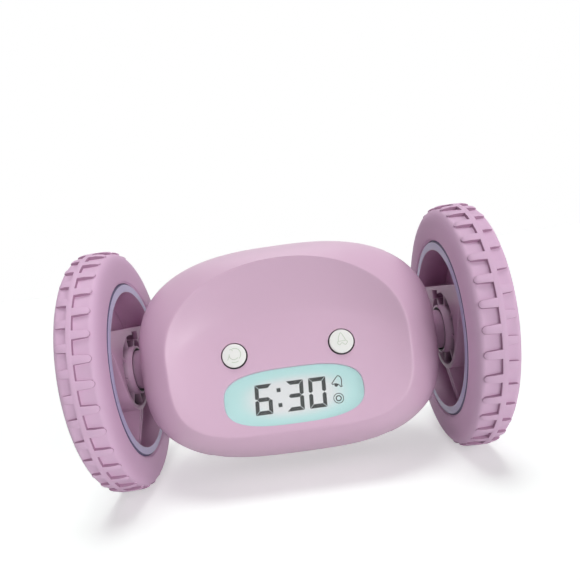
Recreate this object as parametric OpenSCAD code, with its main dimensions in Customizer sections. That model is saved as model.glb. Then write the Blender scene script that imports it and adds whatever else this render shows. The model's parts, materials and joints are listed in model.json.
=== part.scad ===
// Runaway alarm clock: a rounded body slung between two big treaded wheels.
// Row frame: X along the wheel axle, face towards -Y, Z up, wheels standing on z = 0.
// Everything inside body_frame() is drawn about the axle and leans back with the face.

/* [Wheels] */
// Outer diameter of each tyre
tyre_d = 86; // [84:0.5:92]
// Width of each tyre
tyre_w = 13.8; // [13:0.1:16]
// Gap between the body's side and each tyre
wheel_gap = 3.8; // [3.4:0.1:4.6]
// Depth of the pockets between the tread lugs
tread_depth = 1.1; // [0.6:0.1:1.6]
// Number of lugs along each edge of a tyre
lug_count = 36; // [30:1:40]
// Width of one lug at its root, along the circumference
lug_w = 3; // [2.4:0.1:3.4]
// Width of the unbroken rib round the tread
tread_rib = 1.9; // [1.5:0.1:3]
// Distance of that rib from the tyre's mid-plane, outwards
rib_out = 0.8; // [0:0.1:1.2]
// Radius of the rim's opening
rim_r = 28.4; // [27:0.1:29.5]
// Wall of the rim and of its spokes
rim_wall = 1.5; // [1.2:0.1:1.8]
// Width of the rim
rim_w = 12.6; // [12:0.1:13]
// Height of the rim's flat shelf above the axle
shelf_h = 15.4; // [14:0.1:18]
// Radius of the round opening in the wheel's centre
hub_hole_r = 13; // [12:0.1:13.6]
// How far the wheel's centre stands back from the rim's edge
hub_recess = 1.7; // [0.5:0.1:2.5]
// Turn of the wheels from their shelf being level, at rest
wheel_turn = 3.9; // [0:0.1:30]

/* [Body] */
// Width of the body
body_w = 101; // [100:0.5:102]
// Radius of the body's round side profile
body_r = 37.2; // [36.8:0.1:37.6]
// Depth of the body behind the axle
rear_depth = 35; // [34.6:0.1:36]
// Wall of the two shells
wall = 2; // [1.6:0.1:2.2]
// Distance from the axle to the plane of the face's edge
face_dist = 24.5; // [24.3:0.1:25]
// Width of the face inside its edge
face_w = 78.4; // [77:0.2:80]
// Height of the face inside its edge
face_h = 56.8; // [56:0.1:57.2]
// Depth of the crease across the face
dish_depth = 5.5; // [5:0.1:5.8]
// Height of that crease, as a share of the face's height
crease_share = 0.67; // [0.62:0.01:0.72]
// Lean of the whole body, which turns the face up
face_tilt = 13.5; // [4:0.5:18]
// Distance from the axle back to the joint between the two shells
seam_dist = 13; // [12.8:0.1:14]
// Gap between the two shells at their joint
seam_gap = 0.2; // [0.1:0.05:0.4]

/* [Display and buttons] */
// Width of the display window
window_w = 45.4; // [42:0.2:46]
// Height of the display window
window_h = 18.4; // [17:0.2:19]
// Height of the window's middle above the foot of the face
window_up = 12.3; // [12.1:0.1:12.8]
// Height of the clock's figures
digit_h = 10; // [8:0.1:11]
// Distance of each face button from the middle, as a share of the window's width
eye_share = 0.388; // [0.35:0.005:0.4]
// Height of the face buttons above the foot of the face
eye_up = 27.4; // [27.3:0.1:28]
// Radius of the face buttons
eye_r = 3.95; // [3.4:0.05:4]
// Travel of the face buttons
eye_travel = 0.5; // [0.3:0.05:0.6]
// Radius of the small setting buttons at the back
key_r = 2.5; // [2:0.1:2.8]
// Travel of the setting buttons
key_travel = 0.5; // [0.3:0.05:0.6]

/* [Drive] */
// Module of the gears
gear_module = 0.5; // [0.48:0.01:0.5]
// Teeth of each large gear
big_teeth = 36; // [34:1:36]
// Teeth of each pinion
small_teeth = 10; // [10:1:11]
// Thickness of the large gears
gear_t = 2; // [1.6:0.1:2.2]
// Backlash taken off each tooth
backlash = 0.08; // [0.05:0.01:0.12]
// Radius of the steel axles
axle_r = 1.5; // [1.3:0.05:1.6]
// Radius of the motors
motor_r = 10; // [9:0.1:10.2]
// Room between the two motors
motor_gap = 9.2; // [9:0.1:12]
// Distance from the body's side in to the back of each gearbox
drive_depth = 20.9; // [20.5:0.1:20.9]

/* [Power] */
// Radius of one battery cell
cell_r = 5.25; // [5:0.05:5.3]
// Length of one battery cell
cell_len = 44.5; // [43:0.5:44.5]
// Place of the battery tray, in front of the axle
tray_front = 0; // [0:0.1:0.6]

/* [Fits] */
// Clearance round a shaft that turns in its bearing
run_fit = 0.05; // [0.02:0.01:0.1]
// Clearance between pieces that move past each other
move_gap = 0.3; // [0.2:0.05:0.4]
// Clearance between pieces that are put together
seat_gap = 0.05; // [0.02:0.01:0.1]

/* [Hidden] */
$fn = 64;
axle_h = tyre_d / 2;
half_track = body_w / 2 + wheel_gap + tyre_w / 2;
lug_step = 360 / lug_count;
eye_x = eye_share * window_w;
gearbox_x = body_w / 2 - drive_depth;
motor_len = gearbox_x - motor_gap / 2;

// ---------------------------------------------------------------- frames

// The body's own frame: origin on the axle's middle, face towards -Y
module body_frame() {
    translate([0, 0, axle_h]) rotate([-face_tilt, 0, 0]) children();
}

// The frame of a wheel: origin on the axle's middle, side -1 left, +1 right
module wheel_frame(side) {
    translate([0, 0, axle_h]) rotate([-wheel_turn, 0, 0]) to_side(side) children();
}

// Mirrors what is drawn for the right side onto the left
module to_side(side) {
    mirror([side < 0 ? 1 : 0, 0, 0]) children();
}

// Stands something drawn along +Z along +X instead
module along_x(x = 0) {
    translate([x, 0, 0]) rotate([0, 90, 0]) children();
}

// Extrudes an outline drawn in (y, z) along +X, from x0 to x1
module slab_x(x0, x1) {
    translate([x0, 0, 0]) rotate([90, 0, 90]) linear_extrude(x1 - x0) children();
}

// A rod along X between two places
module rod_x(r, x0, x1, y = 0, z = 0) {
    translate([x0, y, z]) rotate([0, 90, 0]) cylinder(r = r, h = x1 - x0);
}

// A rod along Y between two places
module rod_y(r, y0, y1, x = 0, z = 0) {
    translate([x, y0, z]) rotate([-90, 0, 0]) cylinder(r = r, h = y1 - y0);
}

// A box given by its two opposite corners
module box(from, to) {
    translate(from) cube(to - from);
}

// Lies on the leaning plane of the face: x across, y into the body, z up the plane
face_lean = atan(dish_depth / (crease_share * face_h));
module on_face() {
    translate([0, -face_dist, -face_h / 2]) rotate([-face_lean, 0, 0]) children();
}

// ---------------------------------------------------------------- body form

ring_steps = 48;
body_bulge = [2.7, 3.2];
face_bulge = [2.05, 3.8];
round_start = 12;

// Height of the body's section at a distance y from the axle, for a wall taken off
function section_h(y, off) =
    y < 0 ? sqrt(pow(body_r - off, 2) - y * y)
          : (body_r - off) * sqrt(max(0, 1 - pow(y / (rear_depth - off), 2)));

// How far a section has turned from the body's outline into the face's outline
function to_face(y) = pow(max(0, (-y - round_start) / (face_dist - round_start)), 2.2);

// Half the width of that section: full in the middle, rounded in to the face and the back
rear_round = 20;
function section_w(y, off) =
    y < 0 ? body_w / 2 - off - (body_w - face_w) / 2 * to_face(y)
          : body_w / 2 - off - rear_in(y, off);
function rear_in(y, off) =
    let (past = max(0, y - (rear_depth - rear_round)), room = rear_round - off)
    (body_w / 2 - off) * (1 - sqrt(max(0, 1 - pow(min(1, past / room), 2.4))));

// Exponents of the outline, upper and lower, of the section at y
function bulge(y) = body_bulge + (face_bulge - body_bulge) * to_face(y);

// Distance from the middle to the outline, in direction a
function outline_r(a, w, h, n) =
    let (e = sin(a) < 0 ? n[1] : n[0])
    pow(pow(abs(cos(a)) / w, e) + pow(abs(sin(a)) / h, e), -1 / e);

function section_ring(y, off, w, h) = [
    for (i = [0 : ring_steps - 1])
        let (a = 360 * i / ring_steps, r = outline_r(a, w, h, bulge(y - off * sign(y))))
        [r * cos(a), y, r * sin(a)]
];

// How far the face sinks at a place: deeper from the foot to the soft crease, then out to the
// brow in a hollow curve
crease_soft = 0.12;
scoop = 1.8;
function face_sink(x, z) =
    let (
        u = min(0.999, abs(x) / (face_w / 2)),
        top = face_h / 2 * pow(1 - pow(u, face_bulge[0]), 1 / face_bulge[0]),
        foot = -face_h / 2 * pow(1 - pow(u, face_bulge[1]), 1 / face_bulge[1]),
        v = min(1, max(0, (z - foot) / (top - foot))),
        up = v / crease_share,
        down = 1 - pow(abs(1 - (1 - v) / (1 - crease_share)), scoop)
            * sign(1 - (1 - v) / (1 - crease_share))
    )
    dish_depth * (1 - pow(u, 4)) * max(0, (up + down - norm([up - down, crease_soft])) / 2);

// Rings of the face, shrinking from its edge to the middle
function face_ring(share, off) =
    let (w = face_w / 2 - off, h = face_h / 2 - off)
    [for (i = [0 : ring_steps - 1])
        let (
            a = 360 * i / ring_steps,
            r = share * outline_r(a, w, h, face_bulge),
            x = r * cos(a),
            z = r * sin(a)
        )
        [x, off - face_dist + face_sink(x, z), z]];

function front_rings(off, steps, shares) = [
    for (k = [0 : steps])
        let (y = seam_dist - seam_gap / 2 - (seam_dist - seam_gap / 2 + face_dist - off) * k / steps)
        k < steps
            ? section_ring(y, off, section_w(y, off), section_h(y, off))
            : face_ring(1, off),
    for (s = shares) face_ring(s, off)
];

function rear_rings(off, steps) = [
    for (k = [0 : steps - 1])
        let (
            y0 = seam_dist + seam_gap / 2,
            y = y0 + (rear_depth - off - y0) * sin(90 * k / steps)
        )
        section_ring(y, off, section_w(y, off), section_h(y, off))
];

// The rings of a cup that opens backwards run the other way about, so its faces are turned over
function turned(faces, turn) = turn ? [for (f = faces) [f[2], f[1], f[0]]] : faces;

// The strips between rings that start at a point number, and the fan to their tip
function skin_faces(first, count, tip) = [
    for (k = [0 : count - 2], i = [0 : ring_steps - 1])
        let (
            a = first + k * ring_steps + i,
            b = first + k * ring_steps + (i + 1) % ring_steps,
            c = a + ring_steps,
            d = b + ring_steps
        )
        each [[a, b, d], [a, d, c]],
    for (i = [0 : ring_steps - 1])
        let (last = first + (count - 1) * ring_steps)
        [last + i, last + (i + 1) % ring_steps, tip]
];

// A cup from outer and inner rings, each list running from the joint to a closing point
module cup(outer, outer_tip, inner, inner_tip, opens_back) {
    start = len(outer) * ring_steps;
    tip = start + len(inner) * ring_steps;
    faces = concat(
        skin_faces(0, len(outer), tip),
        turned(skin_faces(start, len(inner), tip + 1), true),
        [for (i = [0 : ring_steps - 1])
            let (next = (i + 1) % ring_steps)
            each [[i, start + next, next], [i, start + i, start + next]]]
    );
    polyhedron([for (r = outer) each r, for (r = inner) each r, outer_tip, inner_tip],
        turned(faces, opens_back));
}

// The front shell's outer form as one solid, closed at the joint, to cut the door from
front_steps = 9;
front_shares = [0.93, 0.83, 0.7, 0.55, 0.38, 0.2];
front_tip = [0, face_sink(0, 0) - face_dist, 0];
module front_form() {
    rings = front_rings(0, front_steps, front_shares);
    tip = len(rings) * ring_steps;
    faces = concat(
        skin_faces(0, len(rings), tip),
        [for (i = [0 : ring_steps - 1]) [(i + 1) % ring_steps, i, tip + 1]]
    );
    polyhedron([for (r = rings) each r, front_tip, [0, seam_dist - seam_gap / 2, 0]],
        turned(faces, true));
}

// A superellipse outline for the window and what lies behind it
function superellipse(w, h, n = 2.9, steps = 48) = [
    for (i = [0 : steps - 1])
        let (a = 360 * i / steps, r = outline_r(a, w / 2, h / 2, [n, n]))
        [r * cos(a), r * sin(a)]
];

// Extrudes an outline drawn in (x, z) into the face, between two depths
module into_face(d0, d1) {
    on_face() translate([0, d1, 0]) rotate([90, 0, 0]) linear_extrude(d1 - d0) children();
}

// ---------------------------------------------------------------- screw and post places

shell_boss_r = 3;
shell_screw_r = 1.2;
shell_head_r = 2.5;
shell_boss_x = body_w / 2 - 16.5;
shell_boss_z = 21;
shell_boss_front = -17;
shell_head_y = seam_dist + 4;
function corners(x, z) = [for (sx = [-1, 1], sz = [-1, 1]) [sx * x, sz * z]];

window_ledge = 1.2;
window_flange_t = 1;
window_back = wall + seat_gap + window_flange_t;
lcd_t = 2;
digit_t = 0.1;
lcd_back = window_back + digit_t + lcd_t + seat_gap;
holder_t = 2;
board_t = 1.6;
board_front = lcd_back + holder_t;
board_half_w = window_w / 2 + 5.2;
board_foot = 2;
board_top = 33;
board_posts = [[window_w / 2 + 3.4, window_up - window_h / 2 + 2.1],
    [window_w / 2 + 1.9, window_up + window_h / 2 + 3.4]];
post_r = 1.8;
small_screw_r = 0.8;
small_head_r = 1.6;

// ---------------------------------------------------------------- shells

side_hole_r = 8.6;
bearing_flange_r = side_hole_r + 1.4;
skin_x = body_w / 2 - wall;
module front_shell() {
    color([0.86, 0.72, 0.85]) body_frame() difference() {
        union() {
            cup(
                front_rings(0, front_steps, front_shares),
                front_tip,
                front_rings(wall, 6, [0.85, 0.65, 0.4]),
                front_tip + [0, wall, 0],
                true
            );
            for (c = corners(shell_boss_x, shell_boss_z))
                rod_y(shell_boss_r, shell_boss_front, seam_dist - seam_gap / 2, c[0], c[1]);
            on_face() for (p = board_posts, sx = [-1, 1])
                rod_y(post_r, wall - 0.6, board_front, sx * p[0], p[1]);
            for (sx = [-1, 1]) {
                door_ledge(sx);
                for (k = [0, 1]) boss_rib(sx, k);
            }
        }
        display_seat();
        for (sx = [-1, 1]) to_side(sx)
            rod_x(bearing_flange_r + seat_gap, skin_x - 3, skin_x);
        for (c = corners(shell_boss_x, shell_boss_z))
            rod_y(shell_screw_r, seam_dist - 12, seam_dist + 1, c[0], c[1]);
        on_face() for (p = board_posts, sx = [-1, 1])
            rod_y(small_screw_r, board_front - 4, board_front + 1, sx * p[0], p[1]);
        into_face(-3, wall + 3) translate([0, window_up])
            polygon(superellipse(window_w + 2 * seat_gap, window_h + 2 * seat_gap));
        on_face() for (sx = [-1, 1])
            rod_y(eye_r + move_gap, -3, wall + 3, sx * eye_x, eye_up);
        for (sx = [-1, 1]) to_side(sx)
            rod_x(side_hole_r, body_w / 2 - wall - 3, body_w / 2 + 2);
        box([-door_half_x, -door_half_y, -body_r - 1], [door_half_x, door_half_y, door_seat_z]);
        for (sx = [-1, 1])
            rotate([180, 0, 0]) translate([sx * door_screw_x, 0, -door_seat_z - 4])
                cylinder(r = small_screw_r, h = ledge_t + 6);
        box([-tray_half_x, -door_half_y, -body_r], [tray_half_x, door_half_y, door_seat_z + 10]);
    }
}

// A rib from a screw boss up (k = 0) or down (k = 1) to the middle of the shell's wall
module boss_rib(sx, k) {
    y = 4;
    n = body_bulge[k];
    reach = section_h(y, wall / 2) * pow(1 - pow(shell_boss_x / section_w(y, wall / 2), n), 1 / n);
    mirror([0, 0, k]) box([sx * shell_boss_x - 0.8, -y, shell_boss_z], [sx * shell_boss_x + 0.8, y, reach]);
}

// Flat room behind the face for the window's flange and the panel
module display_seat() {
    half_w = lcd_w / 2 + move_gap;
    half_h = window_h / 2 + window_ledge + seat_gap;
    on_face() box([-half_w, wall, window_up - half_h], [half_w, lcd_back + 1, window_up + half_h]);
}

rear_boss_end = 20.5;
module rear_shell() {
    color([0.86, 0.72, 0.85]) body_frame() difference() {
        union() {
            cup(
                rear_rings(0, 8),
                [0, rear_depth, 0],
                rear_rings(wall, 6),
                [0, rear_depth - wall, 0],
                false
            );
            for (c = corners(shell_boss_x, shell_boss_z))
                rod_y(shell_boss_r + 0.4, seam_dist + seam_gap / 2, rear_boss_end, c[0], c[1]);
            box([-key_pad_x, key_floor_y - wall, key_pad_z[0]], [key_pad_x, key_floor_y, key_pad_z[1]]);
            for (sx = [-1, 1])
                rod_y(post_r, key_board_y, key_floor_y - wall / 2, sx * key_post[0], key_post[1]);
            speaker_frame() translate([0, 0, speaker_seat - 1]) difference() {
                cylinder(r = speaker_r + 0.2 + 1.3, h = speaker_ring_h);
                translate([0, 0, -1]) cylinder(r = speaker_r + 0.2, h = speaker_ring_h + 2);
            }
        }
        for (c = corners(shell_boss_x, shell_boss_z)) {
            rod_y(shell_screw_r + move_gap / 2, seam_dist - 1, rear_depth, c[0], c[1]);
            rod_y(shell_head_r + 0.2, shell_head_y, rear_depth, c[0], c[1]);
        }
        box([-key_pad_x + 1.5, key_floor_y, key_pad_z[0] + 1.5],
            [key_pad_x - 1.5, rear_depth + 1, key_pad_z[1] - 1.5]);
        for (x = key_xs) rod_y(key_r + move_gap, key_floor_y - wall - 2, rear_depth, x, key_z);
        for (sx = [-1, 1])
            rod_y(small_screw_r, key_board_y - 1, key_board_y + 3, sx * key_post[0], key_post[1]);
        speaker_frame() for (k = [-2 : 2])
            translate([-slot_len(k) / 2, k * slot_pitch - slot_w / 2, speaker_seat])
                cube([slot_len(k), slot_w, rear_depth - speaker_seat + slot_pitch]);
    }
}

// ---------------------------------------------------------------- display

module display_window() {
    color([0.75, 0.9, 0.9, 0.35]) body_frame() {
        into_face(seat_gap, wall + seat_gap * 2) translate([0, window_up])
            polygon(superellipse(window_w, window_h));
        into_face(wall + seat_gap, window_back) translate([0, window_up])
            polygon(superellipse(window_w + 2 * window_ledge, window_h + 2 * window_ledge));
    }
}

lcd_w = window_w + 2;
lcd_h = window_h + 1.6;
module lcd_panel() {
    color([0.8, 0.88, 0.88]) body_frame() on_face()
        box([-lcd_w / 2, lcd_back - lcd_t, window_up - lcd_h / 2],
            [lcd_w / 2, lcd_back, window_up + lcd_h / 2]);
}

// Seven-bar figures with mitred corners, leaning a little to the right
bar_w = 1.3;
bar_gap = 0.1;
digit_w = 5.7;
digit_lean = 0.06;
function lean(points) = [for (p = points) [p[0] + p[1] * digit_lean, p[1]]];

// The bar along the top, and with flip = -1 along the foot
module level_bar(flip) {
    polygon(lean([
        [bar_gap - digit_w / 2, flip * digit_h / 2], [digit_w / 2 - bar_gap, flip * digit_h / 2],
        [digit_w / 2 - bar_w - bar_gap, flip * (digit_h / 2 - bar_w)],
        [bar_w + bar_gap - digit_w / 2, flip * (digit_h / 2 - bar_w)]
    ]));
}

// An upright bar: side -1 left, 1 right; up 1 upper, -1 lower
module upright_bar(side, up) {
    polygon(lean([for (p = [
        [0, digit_h / 2 - bar_gap], [0, bar_w * 0.4], [bar_w / 2, bar_gap], [bar_w, bar_w / 2],
        [bar_w, digit_h / 2 - bar_w - bar_gap]
    ]) [side * (digit_w / 2 - p[0]), up * p[1]]]));
}

module middle_bar() {
    tip = digit_w / 2 - bar_w / 2 - bar_gap;
    shoulder = tip - bar_w / 2;
    polygon(lean([[-tip, 0], [-shoulder, bar_w / 2], [shoulder, bar_w / 2], [tip, 0],
        [shoulder, -bar_w / 2], [-shoulder, -bar_w / 2]]));
}

// on lists top, upper right, lower right, foot, lower left, upper left, middle
module figure(on) {
    if (on[0]) level_bar(1);
    if (on[1]) upright_bar(1, 1);
    if (on[2]) upright_bar(1, -1);
    if (on[3]) level_bar(-1);
    if (on[4]) upright_bar(-1, -1);
    if (on[5]) upright_bar(-1, 1);
    if (on[6]) middle_bar();
}

digit_step = 7.4;
digits_x = -10;
dot = 1.3;
module lcd_digits() {
    color([0.25, 0.26, 0.27]) body_frame()
        into_face(lcd_back - lcd_t - digit_t, lcd_back - lcd_t) translate([digits_x, window_up]) {
            figure([1, 0, 1, 1, 1, 1, 1]);
            for (s = [-1, 1]) translate([digit_step * 0.7, s * digit_h / 4]) square(dot, center = true);
            translate([digit_step * 1.4, 0]) figure([1, 1, 1, 1, 0, 0, 1]);
            translate([digit_step * 2.4, 0]) figure([1, 1, 1, 1, 1, 1, 0]);
        }
}

module lcd_holder() {
    color([0.9, 0.9, 0.9]) body_frame() on_face()
        box([-lcd_w / 2 + 1, lcd_back, window_up - lcd_h / 2 + 0.5],
            [lcd_w / 2 - 1, board_front, window_up + lcd_h / 2 - 0.5]);
}

// The larger parts on the board: x, height, width and height of each
board_parts = [[-14, 9, 8, 8], [6, 25, 10, 6], [-10, 25, 5, 7], [17, 6, 6, 4]];
board_part_t = 1.2;
module main_board() {
    color([0.1, 0.35, 0.2]) body_frame() on_face() difference() {
        union() {
            box([-board_half_w, board_front, board_foot],
                [board_half_w, board_front + board_t, board_top]);
            for (c = board_parts)
                box([c[0] - c[2] / 2, board_front + board_t - 0.1, c[1] - c[3] / 2],
                    [c[0] + c[2] / 2, board_front + board_t + board_part_t, c[1] + c[3] / 2]);
        }
        for (p = board_posts, sx = [-1, 1])
            rod_y(small_screw_r + 0.2, board_front - 1, board_front + board_t + 1, sx * p[0], p[1]);
    }
}

// A small screw along +Y, its head seated at y
module small_screw(y, length, x, z) {
    rod_y(small_screw_r, y - length, y + 0.01, x, z);
    rod_y(small_head_r, y, y + 1.1, x, z);
}

module board_screws() {
    color([0.7, 0.7, 0.72]) body_frame() on_face()
        for (p = board_posts, sx = [-1, 1])
            small_screw(board_front + board_t, board_t + 3.5, sx * p[0], p[1]);
}

// ---------------------------------------------------------------- face buttons

eye_stand = 0.9;
eye_flange_r = eye_r + 0.9;
eye_flange_t = 0.8;
eye_flange_y = wall + 0.35;
plunger_y = eye_flange_y + eye_flange_t + eye_travel + 0.1;
module eye_button(sx) {
    color([0.95, 0.95, 0.95]) body_frame() on_face() {
        // A shallow dome on a straight cap, with a flange that holds it behind the wall
        translate([sx * eye_x, 0, eye_up]) rotate([-90, 0, 0]) rotate_extrude()
            polygon(concat(
                [for (t = [0 : 15 : 90])
                    [eye_r - 0.45 + 0.45 * sin(t), -eye_stand + 0.45 * (1 - cos(t))]],
                [[eye_r, eye_flange_y], [eye_flange_r, eye_flange_y],
                 [eye_flange_r, eye_flange_y + eye_flange_t], [0, eye_flange_y + eye_flange_t],
                 [0, -eye_stand]]
            ));
    }
}

// A tactile switch: square base on a board, round plunger towards -Y
module switch(x, z, top, base, size, plunger_r) {
    box([x - size / 2, base[0], z - size / 2], [x + size / 2, base[1], z + size / 2]);
    rod_y(plunger_r, top, base[0] + 0.2, x, z);
}

switch_w = 6;
module face_switches() {
    color([0.15, 0.15, 0.16]) body_frame() on_face()
        for (sx = [-1, 1])
            switch(sx * eye_x, eye_up, plunger_y, [plunger_y + 0.8, board_front], switch_w, 1.7);
}

// ---------------------------------------------------------------- power

tray_wall = 1.2;
contact_len = 2.4;
tray_half_x = cell_len / 2 + contact_len + 0.35 + tray_wall;
tray_half_y = 2 * cell_r + 0.3 + tray_wall;
cell_z = -16.4;
cell_step = 2 * cell_r + 0.05;
tray_top = cell_z + cell_r + 0.1 + tray_wall;
tray_foot = -31.3;
door_screw_x = tray_half_x + 2.8;
door_half_x = door_screw_x + 3;
door_half_y = 11.6;
door_seat_z = -30.6;

// The ledge inside the shell that the door seats on and is screwed to, standing on the wall
ledge_t = 3.6;
module door_ledge(sx) {
    to_side(sx) {
        box([tray_half_x + 0.2, -door_half_y - 1, door_seat_z],
            [door_half_x + 1.6, door_half_y + 1, door_seat_z + ledge_t]);
        box([door_half_x, 4 - door_half_y, door_seat_z - 1.4],
            [door_half_x + 1.6, door_half_y - 4, door_seat_z + ledge_t]);
    }
}

module battery_tray() {
    color([0.8, 0.66, 0.79]) body_frame() translate([0, -tray_front, 0]) difference() {
        box([-tray_half_x, -tray_half_y, tray_foot], [tray_half_x, tray_half_y, tray_top]);
        box([tray_wall - tray_half_x, tray_wall - tray_half_y, tray_foot - 1],
            [tray_half_x - tray_wall, tray_half_y - tray_wall, tray_top - tray_wall]);
    }
}

cell_places = [for (sy = [-1, 1], k = [0, 1]) [sy * cell_step / 2 - tray_front, cell_z - k * cell_step]];
module battery_cells() {
    color([0.25, 0.3, 0.35]) body_frame() for (c = cell_places) {
        rod_x(cell_r, -cell_len / 2, cell_len / 2 - 1, c[0], c[1]);
        rod_x(1.8, cell_len / 2 - 1.1, cell_len / 2, c[0], c[1]);
    }
}

module battery_contacts() {
    color([0.8, 0.8, 0.78]) body_frame() for (c = cell_places, sx = [-1, 1]) to_side(sx) {
        box([cell_len / 2 + contact_len, c[0] - 4, c[1] - 4],
            [cell_len / 2 + contact_len + 0.35, c[0] + 4, c[1] + 4]);
        translate([cell_len / 2, c[0], c[1]]) rotate([0, 90, 0])
            cylinder(r1 = 1.6, r2 = 3.2, h = contact_len + 0.1);
    }
}

door_gap = 0.3;
door_rib_x = cell_len * 0.27;
door_rib_y = 8;
door_screw_len = 4.6;
module battery_door() {
    color([0.84, 0.7, 0.83]) body_frame() {
        difference() {
            intersection() {
                front_form();
                box([door_gap - door_half_x, door_gap - door_half_y, -body_r - 1],
                    [door_half_x - door_gap, door_half_y - door_gap, door_seat_z - 0.1]);
            }
            rod_x(body_r - 2.3, -tray_half_x, tray_half_x);
            for (sx = [-1, 1]) translate([sx * door_screw_x, 0, -body_r]) {
                cylinder(r = small_screw_r + 0.2, h = body_r);
                cylinder(r = small_head_r + 0.25, h = door_head_z + body_r);
            }
        }
        for (sx = [-1, 1])
            box([sx * door_rib_x - 0.6, -door_rib_y, 1.6 - body_r],
                [sx * door_rib_x + 0.6, door_rib_y, cell_foot - 0.3]);
    }
}
cell_foot = cell_z - cell_step - cell_r;
door_head_z = door_seat_z - 1.6;

module door_screws() {
    color([0.7, 0.7, 0.72]) body_frame() for (sx = [-1, 1]) translate([sx * door_screw_x, 0, 0]) {
        translate([0, 0, door_head_z - 1.1]) cylinder(r = small_head_r, h = 1.1);
        translate([0, 0, door_head_z - 0.01]) cylinder(r = small_screw_r, h = door_screw_len);
    }
}

// ---------------------------------------------------------------- rear controls and speaker

key_floor_y = 29;
key_z = 10;
key_pad_x = 25.5;
key_pad_z = [3.8, 16.2];
key_xs = [-16.5, -5.5, 5.5, 16.5];
key_flange_t = 0.8;
key_flange_y = key_floor_y - wall - 0.35;
key_plunger_y = key_flange_y - key_flange_t - key_travel - 0.1;
key_switch_t = 1.8;
key_switch_w = 5.2;
key_board_y = key_plunger_y - 0.7 - key_switch_t;
key_post = [22, 6.4];

module key(i) {
    color([0.95, 0.95, 0.95]) body_frame() {
        rod_y(key_r, key_flange_y - 0.1, key_floor_y + 1.2, key_xs[i], key_z);
        rod_y(key_r + 1.1, key_flange_y - key_flange_t, key_flange_y, key_xs[i], key_z);
    }
}

module setting_board() {
    color([0.1, 0.35, 0.2]) body_frame() difference() {
        box([-key_pad_x, key_board_y - board_t, key_pad_z[0]], [key_pad_x, key_board_y, key_pad_z[1]]);
        for (sx = [-1, 1])
            rod_y(small_screw_r + 0.2, key_board_y - board_t - 1, key_board_y + 1,
                sx * key_post[0], key_post[1]);
    }
}

module setting_switches() {
    color([0.15, 0.15, 0.16]) body_frame() {
        for (x = key_xs) {
            box([x - key_switch_w / 2, key_board_y, key_z - key_switch_w / 2],
                [x + key_switch_w / 2, key_board_y + key_switch_t, key_z + key_switch_w / 2]);
            rod_y(1.3, key_board_y + key_switch_t - 0.2, key_plunger_y, x, key_z);
        }
    }
}

speaker_dir = 28;
speaker_r = 13;
speaker_seat = 26.6;
speaker_t = 3.4;
speaker_ring_h = 5.8;
slot_pitch = 3.4;
slot_w = 1.3;
function slot_len(k) = 2 * sqrt(pow(speaker_r - 3, 2) - pow(k * slot_pitch, 2));

// Looks out from the axle, down and back, at the speaker
module speaker_frame() {
    rotate([-speaker_dir, 0, 0]) rotate([-90, 0, 0]) children();
}

module speaker() {
    color([0.2, 0.2, 0.2]) body_frame() speaker_frame() {
        translate([0, 0, speaker_seat]) cylinder(r = speaker_r + 0.15, h = speaker_t);
        translate([0, 0, speaker_seat - 4]) cylinder(r = speaker_r * 0.55, h = 4.1);
    }
}

module shell_screws() {
    color([0.7, 0.7, 0.72]) body_frame() for (c = corners(shell_boss_x, shell_boss_z)) {
        rod_y(shell_screw_r, seam_dist - 11, shell_head_y + 0.01, c[0], c[1]);
        rod_y(shell_head_r, shell_head_y, shell_head_y + 1.6, c[0], c[1]);
    }
}

// ---------------------------------------------------------------- wheels

rim_in = half_track - rim_w / 2;
rim_out = half_track + rim_w / 2;
rim_lip_r = rim_r + rim_wall + 1.5;
rim_seat_r = rim_r + rim_wall;
lip_w = 1.9;
tyre_groove = 0.15;
shoulder_r = tyre_d / 2 - tread_depth;

// Half the tyre's section beside its mid-plane, from the bead out over the round shoulder
shoulder_w = 2.6;
function tyre_side(s) =
    let (mid = (rim_lip_r + shoulder_r) / 2, low = rim_lip_r + 0.6)
    [
        [rim_seat_r, s * (rim_w / 2 - lip_w)],
        [rim_lip_r + tyre_groove, s * (rim_w / 2 - lip_w)],
        [rim_lip_r + tyre_groove, s * (rim_w / 2 - 0.3)],
        for (t = [0 : 22.5 : 67.5])
            [mid - (mid - low) * cos(t), s * (tyre_w / 2 - 0.8 + 0.8 * pow(sin(t), 0.7))],
        for (t = [0 : 15 : 90])
            [mid + (shoulder_r - mid) * pow(sin(t), 0.85),
                s * (tyre_w / 2 - shoulder_w * (1 - pow(cos(t), 0.85)))]
    ];

lug_turn = -2.5;
module tyre(side) {
    color([0.82, 0.68, 0.8]) wheel_frame(side) union() {
        along_x(half_track) rotate_extrude($fn = 96)
            polygon(concat(
                tyre_side(-1),
                [for (i = [len(tyre_side(1)) - 1 : -1 : 0]) tyre_side(1)[i]]
            ));
        along_x(half_track) rotate_extrude($fn = 96)
            polygon([for (p = [[shoulder_r - 0.5, -1], [axle_h, -1], [axle_h, 1], [shoulder_r - 0.5, 1]])
                [p[0], rib_out + p[1] * tread_rib / 2]]);
        intersection() {
            along_x(half_track) rotate_extrude($fn = 96) tread_section();
            for (i = [0 : lug_count - 1], s = [-1, 1])
                rotate([lug_turn + (i + (s > 0 ? 0.5 : 0)) * lug_step, 0, 0])
                    translate([half_track, 0, shoulder_r - 1.6])
                        linear_extrude(tread_depth + 3) lug_outline(s);
        }
    }
}

// The crowned ring that the lugs are cut from
lug_reach = 5.35;
module tread_section() {
    end = lug_reach + 0.1;
    low = shoulder_r - 1.6;
    polygon([
        [low, -end], [axle_h - 0.8, -end], [axle_h, -lug_reach / 2],
        [axle_h, lug_reach / 2 + rib_out / 2], [axle_h - 0.8, end], [low, end]
    ]);
}

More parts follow.
